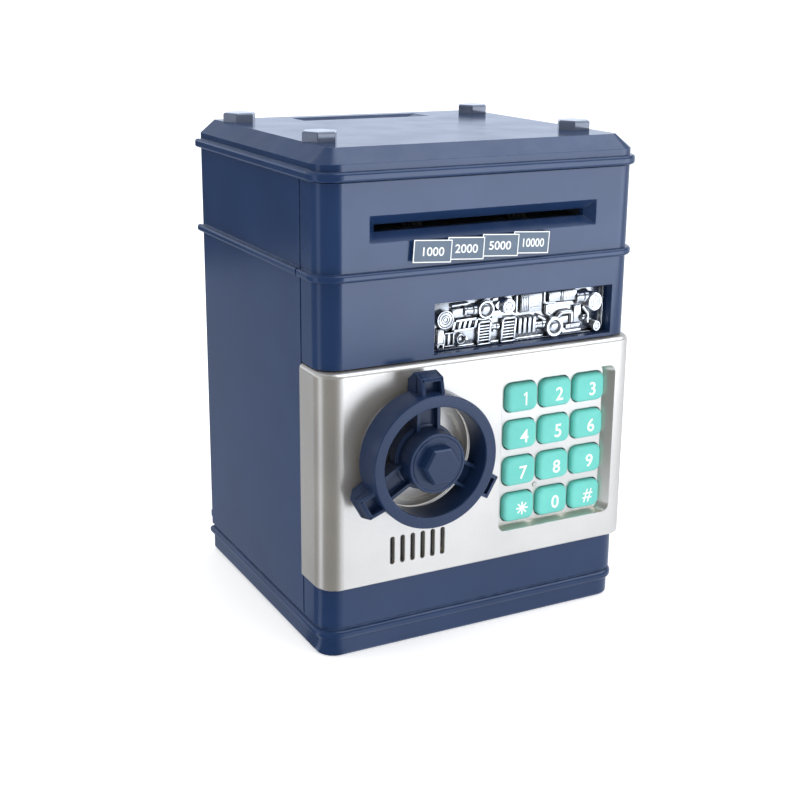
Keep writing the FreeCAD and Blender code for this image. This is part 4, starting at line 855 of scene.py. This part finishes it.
    def cap(self, palette: Palette) -> None:
        """Makes the hexagonal cap with a turned chamfer."""
        piece = Workpiece("wheel_cap_hex")
        chamfer = 0.8
        base = polygon(6, self.cap_flats, 0.0)
        top = polygon(6, self.cap_flats - 2 * chamfer, 0.0)
        crown = self.hub_front + self.cap_h
        levels = ((base, self.hub_front - 0.4), (base, crown - chamfer), (top, crown))
        rings = [[Vector((x, y, z)) for x, y in ring] for ring, z in levels]
        piece.add(soften(lofted(rings), 0.25), self.axle())
        piece.done([palette[FinishKind.NAVY_WHEEL_SHADED]], Body.WHEEL.value, ("wheel_cap",))

    def build(self, palette: Palette) -> None:
        """Makes the whole handwheel."""
        for make in (self.rim, self.lugs, self.spokes, self.hub, self.cap):
            make(palette)


@dataclass
class Keypad:
    """Twelve soft-edged key caps with printed figures."""

    names: tuple[str, ...] = ("1", "2", "3", "4", "5", "6", "7", "8", "9", "star", "0", "hash")
    width: float = 13.4
    height: float = 10.9
    corner: float = 2.8
    depth: float = 4.6
    face: tuple[tuple[float, float], ...] = (
        (4.6, 0.16), (3.0, 0.10), (1.9, 0.03), (1.2, 0.05), (0.75, 0.18), (0.4, 0.42), (0.15, 0.8),
        (0.0, 1.3))
    figure_h: float = 5.2
    figure_at: tuple[float, float] = (1.2, -0.5)
    ink: float = 0.05

    def sink(self, x: float, z: float) -> float:
        """Gives how far the key's face lies behind its crown at a point from its centre."""
        qx = abs(x) - (self.width / 2 - self.corner)
        qz = abs(z) - (self.height / 2 - self.corner)
        inset = self.corner - math.hypot(max(qx, 0.0), max(qz, 0.0)) - min(max(qx, qz), 0.0)
        table = self.face
        if inset >= table[0][0]:
            return table[0][1]
        for (far, deep), (near, deeper) in zip(table, table[1:]):
            if inset >= near:
                return deeper + (deep - deeper) * (inset - near) / (far - near)
        return table[-1][1]

    def cap(self) -> Shape:
        """Draws one key lying flat with its crown at height 0."""
        rings = [[Vector((0.0, 0.0, -self.face[0][1] - 0.02))]]
        for inset, deep in (*self.face, (0.0, self.depth)):
            ring = rounded_ring(self.width / 2 - inset, self.height / 2 - inset, self.corner - inset)
            rings.append([Vector((x, y, -deep)) for x, y in ring])
        return lofted(rings)

    def bars(self, strokes: list[tuple[float, float, float, float]], width: float) -> Shape:
        """Draws straight strokes, each from one point to another, as rounded bars."""
        sign = Workpiece("sign")
        for x0, y0, x1, y1 in strokes:
            length, angle = math.hypot(x1 - x0, y1 - y0), math.atan2(y1 - y0, x1 - x0)
            outline = rounded_ring(length / 2, width / 2, width * 0.3, 3)
            place = Matrix.Translation(((x0 + x1) / 2, (y0 + y1) / 2, 0)) @ Matrix.Rotation(angle, 4, "Z")
            sign.add(prism(outline, 0.0, self.ink), place)
        return sign.gathered

    def figure(self, name: str) -> Shape:
        """Draws the figure or sign printed on a key."""
        half = self.figure_h / 2
        if name == "star":
            arms = [(0.0, half), (half * 0.72, half * 0.72), (half, 0.0), (half * 0.72, -half * 0.72)]
            return self.bars([(-x, -y, x, y) for x, y in arms], 0.62)
        if name == "hash":
            lean, reach, apart = 0.75, half * 1.04, 0.9
            uprights = [(side - lean, -reach, side + lean, reach) for side in (-apart, apart)]
            return self.bars([*uprights, (-2.3, -0.9, 2.0, -0.9), (-2.0, 0.9, 2.3, 0.9)], 0.58)
        if name == "1":
            return self.bars([(0.3, -half, 0.3, half), (-0.85, half - 1.25, 0.3, half - 0.35)], 0.68)
        return lettered(name, self.figure_h, self.ink, 0.012)

    def build(self, palette: Palette) -> None:
        """Makes every key and its figure."""
        for name in self.names:
            low, high = (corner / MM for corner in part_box(f"key_{name}"))
            x, z, front = (low.x + high.x) / 2, (low.z + high.z) / 2, low.y
            place = facing_front(x, front, z)
            piece = Workpiece(f"key_cap_{name}")
            piece.add(self.cap(), place)
            piece.done([palette[FinishKind.TEAL]], f"button_{name}", (f"key_{name}",),
                       weighted=False)
            shape = self.figure(name)
            for vert in shape.verts:
                vert.co.x += self.figure_at[0]
                vert.co.y += self.figure_at[1]
                vert.co.z += -self.sink(vert.co.x, vert.co.y) - self.ink * 0.45
            print_piece = Workpiece(f"key_figure_{name}")
            print_piece.add(shape, place)
            print_piece.done([palette[FinishKind.INK]], f"button_{name}", weighted=False)


@dataclass
class LidBolts:
    """Four hex-headed bolts that hold the lid."""

    points: tuple[tuple[float, float], ...] = ((-53.0, -31.5), (53.0, -31.5), (-53.2, 44.5), (53.2, 44.5))
    flats: float = 11.6
    height: float = 3.6
    chamfer: float = 0.45
    turn_deg: float = 0.0

    def build(self, palette: Palette) -> None:
        """Makes the four bolts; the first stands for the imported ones."""
        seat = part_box("lid")[1].z / MM
        for index, (x, y) in enumerate(self.points, 1):
            base = polygon(6, self.flats, self.turn_deg)
            top = polygon(6, self.flats - 2 * self.chamfer, self.turn_deg)
            levels = ((base, -0.2), (base, self.height - self.chamfer), (top, self.height))
            rings = [[Vector((px, py, z)) for px, py in ring] for ring, z in levels]
            piece = Workpiece(f"lid_bolt_{index}")
            piece.add(soften(lofted(rings), 0.22), Matrix.Translation((x, y, seat)))
            piece.done([palette[FinishKind.BOLT]], Body.CASE.value,
                       ("lid_bolts",) if index == 1 else ())


@dataclass
class NoteLabels:
    """Four fanned note signs printed under the note slot."""

    boxes: tuple[tuple[str, float, float, float, float], ...] = (
        ("10000", 9.8, 25.0, 0.92, 0.95), ("5000", -3.2, 12.0, 1.1, -0.15), ("2000", -17.2, -2.3, 1.1, 0.2),
        ("1000", -30.7, -15.5, 1.1, 0.35))
    centre_z: float = 147.7
    height: float = 8.0
    tilt_deg: float = -3.9
    border: float = 0.36
    figure_h: float = 3.1

    def build(self, palette: Palette) -> None:
        """Makes the signs, each lower than the one that it overlaps."""
        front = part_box("front_shell")[0].y / MM
        for index, (words, left, right, stretch, shift) in enumerate(self.boxes):
            piece = Workpiece(f"note_sign_{words}")
            lift = 0.02 + 0.025 * index
            place = facing_front((left + right) / 2, front, self.centre_z, self.tilt_deg)
            half_w, half_h = (right - left) / 2, self.height / 2
            piece.add(prism(rounded_ring(half_w, half_h, 0.15, 2), -0.05, lift), place, 0)
            inner_w, inner_h = half_w - self.border, half_h - self.border
            piece.add(prism(rounded_ring(inner_w, inner_h, 0.05, 2), -0.04, lift + 0.008), place, 1)
            piece.add(lettered(words, self.figure_h, 0.02, 0.012),
                      place @ Matrix.Translation((shift, -0.1, lift + 0.002))
                      @ Matrix.Diagonal((stretch, 1.0, 1.0, 1.0)), 0)
            piece.done([palette[FinishKind.INK], palette[FinishKind.FIELD]], Body.CASE.value, weighted=False)


@dataclass(frozen=True)
class Drum:
    """A round boss on the relief, with steps or grooves in its face, leaning if its foot is elsewhere."""

    u: float
    v: float
    radius: float
    height: float
    rings: tuple[float, ...] = ()
    dome: float = 0.0
    lean: tuple[float, float] = (0.0, 0.0)
    squeeze: float = 1.0

    def shape(self) -> Shape:
        """Draws the boss at its place on the plate."""
        top = self.height
        run = [(0.0, -0.4), (self.radius, -0.4), (self.radius, top - 0.25), (self.radius - 0.25, top)]
        for ring in self.rings:
            run += [(ring + 0.22, top), (ring, top - 0.35), (ring - 0.22, top)]
        if self.dome > 0.0:
            run += [(self.dome + 0.35, top), (self.dome + 0.1, top - 0.9), (self.dome, top - 1.0)]
            run += [(self.dome * math.cos(a), top - 1.0 + 0.85 * self.dome / 2.4 * math.sin(a))
                    for a in (0.35, 0.7, 1.05, 1.35)]
            run.append((0.0, top - 1.0 + 0.85 * self.dome / 2.4))
        else:
            run.append((0.0, top))
        shape = turned(run, 40, self.squeeze)
        for vert in shape.verts:
            share = (top - vert.co.z) / top
            vert.co.x += self.u + self.lean[0] * share
            vert.co.y += self.v + self.lean[1] * share
        return shape


@dataclass(frozen=True)
class Grille:
    """A framed grille on the relief; its slats lie across or stand up."""

    u: tuple[float, float]
    v: tuple[float, float]
    slats: int
    height: float
    upright: bool = False
    skew: float = 0.0
    frame: float = 0.8

    def shapes(self) -> list[Shape]:
        """Draws the frame's four bars and the slats."""
        (u0, u1), (v0, v1), edge = self.u, self.v, self.frame
        parts = [slab((u0, u1), (v0, v0 + edge), (RELIEF_ROOT, self.height), 0.12),
                 slab((u0, u1), (v1 - edge, v1), (RELIEF_ROOT, self.height), 0.12),
                 slab((u0, u0 + edge), (v0, v1), (RELIEF_ROOT, self.height), 0.12),
                 slab((u1 - edge, u1), (v0, v1), (RELIEF_ROOT, self.height), 0.12)]
        span = (u1 - u0 if self.upright else v1 - v0) - 2 * edge
        pitch = span / (self.slats + 1)
        for k in range(1, self.slats + 1):
            middle = (u0 if self.upright else v0) + edge + pitch * k
            across = (middle - pitch * 0.28, middle + pitch * 0.28)
            if self.upright:
                parts.append(slab(across, (v0 + 0.3, v1 - 0.3), (RELIEF_ROOT, self.height - 0.15), 0.12))
            else:
                parts.append(slab((u0 + 0.3, u1 - 0.3), across, (RELIEF_ROOT, self.height - 0.15), 0.12))
        for part in parts:
            for vert in part.verts:
                vert.co.x += self.skew * (vert.co.y - v0)
        return parts


@dataclass
class DecorRelief:
    """The plated relief of drums, pipes, fins and grilles behind the window."""

    plate_t: float = 1.4
    overlap: float = 1.2
    width: float = 76.5
    height: float = 18.7
    drums: tuple[Drum, ...] = (
        Drum(5.6, 11.9, 3.5, 3.1, rings=(2.7, 1.6, 0.8), lean=(1.9, -2.0)),
        Drum(22.6, 13.9, 3.4, 3.1, dome=2.35),
        Drum(32.0, 14.3, 2.85, 3.2, rings=(1.45,), lean=(-1.6, 0.4)),
        Drum(52.7, 4.3, 3.8, 3.0, dome=2.35),
        Drum(70.4, 12.3, 3.65, 3.2, rings=(2.2, 1.1), lean=(-2.2, 0.3), squeeze=0.86),
        Drum(71.9, 2.6, 2.1, 2.8, rings=(1.1,), squeeze=0.85),
        Drum(13.1, 3.6, 1.9, 1.5, dome=1.2),
        Drum(15.0, 3.8, 0.75, 2.3),
        Drum(66.6, 5.9, 1.5, 2.2, dome=0.9),
        Drum(4.6, 1.9, 1.6, 1.6, rings=(0.9,)),
        Drum(29.0, 14.6, 1.7, 1.6),
        Drum(57.3, 2.2, 1.0, 2.1),
    )
    grilles: tuple[Grille, ...] = (
        Grille((8.9, 19.0), (6.6, 11.2), 3, 1.8, upright=True, skew=0.22, frame=1.0),
        Grille((19.7, 25.3), (0.5, 9.5), 6, 1.9, skew=0.03, frame=0.75),
        Grille((29.6, 35.9), (0.4, 9.9), 6, 1.9, skew=0.06, frame=0.8),
        Grille((6.0, 10.2), (1.4, 6.6), 1, 1.4, upright=True, frame=0.45),
        Grille((38.3, 41.6), (11.0, 17.2), 3, 2.1, upright=True, frame=0.3),
    )
    blocks: tuple[tuple[float, float, float, float, float], ...] = (
        (3.2, 5.8, 0.3, 8.2, 1.6), (9.0, 13.9, 11.9, 15.2, 1.7), (25.6, 30.2, 9.9, 13.0, 1.8),
        (26.2, 28.6, 16.3, 17.5, 1.2), (38.1, 47.2, 10.6, 17.6, 1.7), (50.3, 55.4, 13.8, 17.4, 2.0),
        (57.0, 62.6, 13.6, 17.5, 1.9), (55.6, 56.0, 13.9, 17.5, 2.3), (56.4, 56.8, 13.9, 17.5, 2.3),
        (55.6, 59.4, 4.9, 7.7, 1.5), (57.0, 65.2, 0.9, 2.4, 1.9), (58.6, 65.0, 2.4, 4.4, 1.4),
        (49.6, 66.0, 11.4, 13.2, 0.9), (62.3, 65.4, 4.6, 11.4, 1.1), (12.0, 19.2, 0.5, 1.5, 0.9),
        (36.5, 49.0, 0.4, 1.6, 0.8), (25.6, 29.4, 0.5, 1.7, 1.2), (26.0, 26.9, 5.0, 6.0, 2.3),
        (42.5, 46.6, 15.0, 15.4, 1.95), (42.5, 46.6, 13.6, 14.0, 1.95), (42.5, 46.6, 12.2, 12.6, 1.95),
        (50.9, 54.9, 16.2, 16.5, 2.2), (50.9, 54.9, 15.2, 15.5, 2.2), (58.0, 58.3, 14.6, 16.6, 2.05),
        (59.2, 59.5, 14.6, 16.6, 2.05), (60.4, 60.7, 14.6, 16.6, 2.05), (60.6, 63.6, 2.9, 3.9, 1.7),
    )
    fins: tuple[float, ...] = (37.6, 39.7, 41.8, 43.8)
    fin_v: tuple[float, float] = (3.1, 9.3)
    barrels: tuple[tuple[float, float, float, float], ...] = (
        (13.9, 19.8, 13.9, 2.4), (44.6, 49.6, 5.2, 2.0), (62.6, 68.0, 14.2, 2.9), (25.9, 29.3, 6.6, 1.5))
    pipes: tuple[tuple[tuple[float, float], ...], ...] = (
        ((9.0, 16.3), (15.6, 16.6)),
        ((48.5, 17.6), (48.5, 14.2), (49.3, 13.4), (53.6, 13.4)),
        ((54.6, 7.4), (56.3, 9.0), (61.0, 9.0), (61.0, 5.0)),
        ((46.0, 9.0), (49.4, 7.0)),
        ((49.6, 12.6), (49.6, 9.6), (51.2, 8.6)),
        ((66.0, 10.6), (68.6, 7.6), (68.6, 4.0)),
        ((19.4, 10.6), (22.5, 9.9), (24.6, 10.4)),
        ((36.4, 17.4), (36.4, 11.0)),
    )
    pipe_r: float = 0.75
    duct_r: float = 1.0

    def place(self) -> Matrix:
        """Gives the plate's place: drawn flat from its lower left corner, it faces the viewer."""
        low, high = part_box("decor_panel")
        return facing_front(low.x / MM + self.overlap, high.y / MM - self.plate_t, low.z / MM)

    def lying_barrel(self, u0: float, u1: float, v: float, radius: float) -> Shape:
        """Draws a drum that lies along the plate, ribbed near its ends."""
        along = u1 - u0
        run = [(0.0, 0.0), (radius, 0.0), (radius, along * 0.18), (radius * 0.86, along * 0.24),
               (radius * 0.86, along * 0.62), (radius, along * 0.68), (radius, along), (0.0, along)]
        shape = turned(eased(run, 0.15, 2), 28)
        lie = Matrix.Translation((u0, v, 0.1)) @ Matrix.Rotation(math.pi / 2, 4, "Y")
        shape.transform(lie)
        for vert in shape.verts:
            vert.co.z = max(vert.co.z, -0.5) if vert.co.z < 0 else vert.co.z * min(1.0, 2.6 / radius)
        return shape

    def build(self, palette: Palette) -> None:
        """Makes the plate and all that stands on it."""
        piece = Workpiece("decor_relief")
        place, edge, left, margin, foot = self.place(), 0.55, 1.3, 0.7, 0.15
        outer = (-self.overlap, self.width + self.overlap)
        piece.add(slab(outer, (0.0, self.height + self.overlap), (-self.plate_t, 0.0), 0.1), place)
        right, top = self.width - margin, self.height - margin
        for u, v in (((left, right), (top - edge, top)), ((left, right), (foot, foot + edge)),
                     ((left, left + edge), (foot, top)), ((right - edge, right), (foot, top))):
            piece.add(slab(u, v, (-0.2, 0.9), 0.2), place)
        for drum in self.drums:
            piece.add(drum.shape(), place)
        for grille in self.grilles:
            for part in grille.shapes():
                piece.add(part, place)
        for u0, u1, v0, v1, high in self.blocks:
            piece.add(slab((u0, u1), (v0, v1), (RELIEF_ROOT, high), min(0.2, (u1 - u0) / 4, (v1 - v0) / 4)),
                      place)
        for u in self.fins:
            piece.add(slab((u - 0.68, u + 0.68), self.fin_v, (RELIEF_ROOT, 2.4), 0.25), place)
        for barrel in self.barrels:
            piece.add(self.lying_barrel(*barrel), place)
        for index, path in enumerate(self.pipes):
            radius = self.duct_r if index == 2 else self.pipe_r
            run = eased(list(path), 0.9, 4) if len(path) > 2 else list(path)
            piece.add(piped([Vector((u, v, 0.9)) for u, v in run], radius), place)
        piece.done([palette[FinishKind.PLATED]], Body.CASE.value, ("decor_panel",),
                   weighted=False)


# ---- studio ----------------------------------------------------------------------------------


@dataclass(frozen=True)
class Softbox:
    """A rectangular lamp that lights the bank and isn't seen itself."""

    name: str
    at: tuple[float, float, float]
    aim: tuple[float, float, float]
    size: tuple[float, float]
    radiance: float

    def build(self) -> None:
        """Makes the lamp."""
        lamp = bpy.data.lights.new(self.name, "AREA")
        lamp.shape = "RECTANGLE"
        lamp.size, lamp.size_y = self.size
        lamp.energy = self.radiance * math.pi * self.size[0] * self.size[1]
        holder = bpy.data.objects.new(self.name, lamp)
        holder.location = self.at
        holder.rotation_euler = (Vector(self.aim) - Vector(self.at)).to_track_quat("-Z", "Y").to_euler()
        holder.visible_camera = False
        holder.visible_glossy = False
        bpy.context.scene.collection.objects.link(holder)


@dataclass(frozen=True)
class Surround:
    """What the gloss mirrors: brightness round the bank by bearing, near it and far off, and overhead."""

    tint: Colour = (0.86, 0.96, 1.16)
    middle: tuple[float, float, float] = (-0.0568, -0.0496, 0.0)
    near: tuple[tuple[float, float], ...] = (
        (-180, 0.9), (-172, 0.1), (-108, 0.06), (-92, 0.3), (-74, 1.1), (-50, 1.25), (10, 0.8),
        (60, 0.7), (88, 0.5), (100, 0.42), (122, 0.38), (130, 0.15), (160, 0.15), (168, 0.9), (180, 0.9))
    far: tuple[tuple[float, float], ...] = (
        (-180, 0.9), (-172, 0.08), (-108, 0.05), (-77, 0.1), (-71, 4.0), (-30, 4.0), (-5, 0.9),
        (60, 0.7), (88, 0.35), (98, 0.1), (130, 0.1), (160, 0.12), (168, 0.9), (180, 0.9))
    front_edge: tuple[float, float] = (0.42, 0.45)
    back_edge: tuple[float, float] = (0.62, 0.68)
    sky_front: float = 0.3
    sky_back: float = 1.15
    sky_high: float = 0.4
    overhead: tuple[float, float, float] = (0.48, -0.30, 0.82)
    overhead_gain: float = 2.3
    full: float = 4.0

    def round_about(self, w: Wiring, bearing: object,
                    stops: tuple[tuple[float, float], ...]) -> bpy.types.NodeSocket:
        """Reads brightness from bearing stops.

        Args:
            w: the wiring to add to.
            bearing: the bearing as a share of a turn from -180 degrees.
            stops: (bearing in degrees, brightness) in order.

        Returns:
            The brightness.
        """
        ramp = w.node("ValToRGB", {"Fac": bearing})
        band = ramp.color_ramp
        while len(band.elements) > 1:
            band.elements.remove(band.elements[0])
        for index, (angle, value) in enumerate(stops):
            place = (angle + 180.0) / 360.0
            stop = band.elements[0] if index == 0 else band.elements.new(place)
            stop.position = place
            grey = value / self.full
            stop.color = (grey, grey, grey, 1.0)
        return w.maths("MULTIPLY", ramp.outputs["Color"], self.full)

    def floor_mirror(self, w: Wiring) -> bpy.types.NodeSocket:
        """Wires the brightness of the floor as gloss sees it."""
        place = w.node("VectorMath", {0: w.node("TexCoord").outputs["Object"], 1: self.middle},
                       operation="SUBTRACT").outputs[0]
        axes = w.node("SeparateXYZ", {0: place})
        angle = w.maths("ARCTAN2", axes.outputs["Y"], axes.outputs["X"])
        bearing = w.span(angle, -math.pi, math.pi)
        front = w.span(w.maths("MULTIPLY", axes.outputs["Y"], -1.0),
                       *(y + self.middle[1] for y in self.front_edge))
        behind = w.span(axes.outputs["Y"], *(y - self.middle[1] for y in self.back_edge))
        share = w.maths("MAXIMUM", front, behind)
        near = self.round_about(w, bearing, self.near)
        far = self.round_about(w, bearing, self.far)
        return w.node("Mix", {0: share, 2: near, 3: far}, data_type="FLOAT").outputs[0]

    def sky_mirror(self, w: Wiring) -> bpy.types.NodeSocket:
        """Wires the brightness of the room overhead as gloss sees it."""
        look = w.node("TexCoord").outputs["Generated"]
        axes = w.node("SeparateXYZ", {0: look})
        back = w.maths("MULTIPLY", w.span(axes.outputs["Y"], -0.3, 0.3, self.sky_front, self.sky_back),
                       w.span(axes.outputs["Z"], 0.15, 0.32, 1.0, self.sky_high))
        toward = Vector(self.overhead).normalized()
        agree = w.node("VectorMath", {0: look, 1: tuple(toward)}, operation="DOT_PRODUCT").outputs["Value"]
        return w.maths("ADD", back, w.span(agree, 0.80, 0.92, 0.0, self.overhead_gain))


@dataclass
class Studio:
    """Pale floor, soft lamps, white surroundings and the camera."""

    floor_half: float = 30.0
    camera_at: tuple[float, float, float] = (-0.24630, -0.45910, 0.23504)
    camera_aim: tuple[float, float, float] = (-0.00413, 0.0, 0.08969)
    camera_roll_deg: float = 0.534
    lens: float = 60.46
    shift_y: float = -0.0441
    room: float = 1.1
    floor_glow: float = 0.35
    surround: Surround = field(default_factory=Surround)
    lamps: tuple[Softbox, ...] = (
        Softbox("top_box", (0.15, -0.10, 1.00), (0.0, 0.0, 0.1), (0.9, 0.9), 1.2),
        Softbox("front_box", (0.45, -0.60, 0.35), (0.0, -0.04, 0.09), (0.40, 0.40), 1.5),
    )

    def floor(self) -> None:
        """Lays the pale floor."""
        half = self.floor_half
        mesh = bpy.data.meshes.new("floor")
        mesh.from_pydata([(-half, -half, 0), (half, -half, 0), (half, half, 0), (-half, half, 0)], [],
                         [(0, 1, 2, 3)])
        paper = bpy.data.materials.new("floor_paper")
        paper.use_nodes = True
        w = Wiring(paper.node_tree)
        shader = paper.node_tree.nodes["Principled BSDF"]
        grain = w.noise(w.node("TexCoord").outputs["Object"], 900.0, 3.0)
        w.tree.links.new(w.blend(grain, (0.86, 0.86, 0.86, 1.0), (0.9, 0.9, 0.9, 1.0)),
                         shader.inputs["Base Color"])
        for key, value in {"Roughness": 1.0, "Specular IOR Level": 0.0,
                           "Emission Color": rgba((1.0, 1.0, 1.0)),
                           "Emission Strength": self.floor_glow}.items():
            shader.inputs[key].default_value = value
        mirrored = w.node("Emission", {"Color": rgba(self.surround.tint),
                                       "Strength": self.surround.floor_mirror(w)})
        mix = w.node("MixShader", {0: w.node("LightPath").outputs["Is Glossy Ray"], 1: shader.outputs[0],
                                   2: mirrored.outputs[0]})
        w.tree.links.new(mix.outputs[0], paper.node_tree.nodes["Material Output"].inputs["Surface"])
        mesh.materials.append(paper)
        ground = bpy.data.objects.new("floor", mesh)
        bpy.context.scene.collection.objects.link(ground)

    def surroundings(self) -> None:
        """Fills the room with white light, and gives the gloss its own view of it."""
        world = bpy.data.worlds.new("white_room")
        bpy.context.scene.world = world
        world.use_nodes = True
        w = Wiring(world.node_tree)
        soft = world.node_tree.nodes["Background"]
        soft.inputs["Color"].default_value = (0.98, 0.99, 1.0, 1.0)
        soft.inputs["Strength"].default_value = self.room
        mirrored = w.node("Background", {"Color": rgba(self.surround.tint),
                                         "Strength": self.surround.sky_mirror(w)})
        mix = w.node("MixShader", {0: w.node("LightPath").outputs["Is Glossy Ray"], 1: soft.outputs[0],
                                   2: mirrored.outputs[0]})
        w.tree.links.new(mix.outputs[0], world.node_tree.nodes["World Output"].inputs["Surface"])

    def camera(self) -> None:
        """Sets up the camera."""
        eye, aim = Vector(self.camera_at), Vector(self.camera_aim)
        ahead = (aim - eye).normalized()
        level = ahead.cross(Vector((0, 0, 1))).normalized()
        right = Matrix.Rotation(-math.radians(self.camera_roll_deg), 3, ahead) @ level
        data = bpy.data.cameras.new("camera")
        data.lens, data.shift_y, data.clip_end = self.lens, self.shift_y, 200.0
        camera = bpy.data.objects.new("camera", data)
        turn = Matrix((right, right.cross(ahead), -ahead)).transposed()
        camera.matrix_world = Matrix.Translation(eye) @ turn.to_4x4()
        bpy.context.scene.collection.objects.link(camera)
        bpy.context.scene.camera = camera

    def build(self) -> None:
        """Makes the whole studio."""
        self.floor()
        self.surroundings()
        for lamp in self.lamps:
            lamp.build()
        self.camera()
        bpy.context.scene.view_settings.view_transform = "Standard"


def main() -> None:
    """Builds the studio and dresses the bank."""
    logging.basicConfig(level=logging.INFO, format="%(name)s: %(message)s")
    Studio().build()
    palette = Palette()
    Casework().dress(palette)
    for assembly in (Handwheel(), Keypad(), LidBolts(), NoteLabels(), DecorRelief()):
        assembly.build(palette)
        log.info("%s done", type(assembly).__name__)


if __name__ == "__main__":
    main()
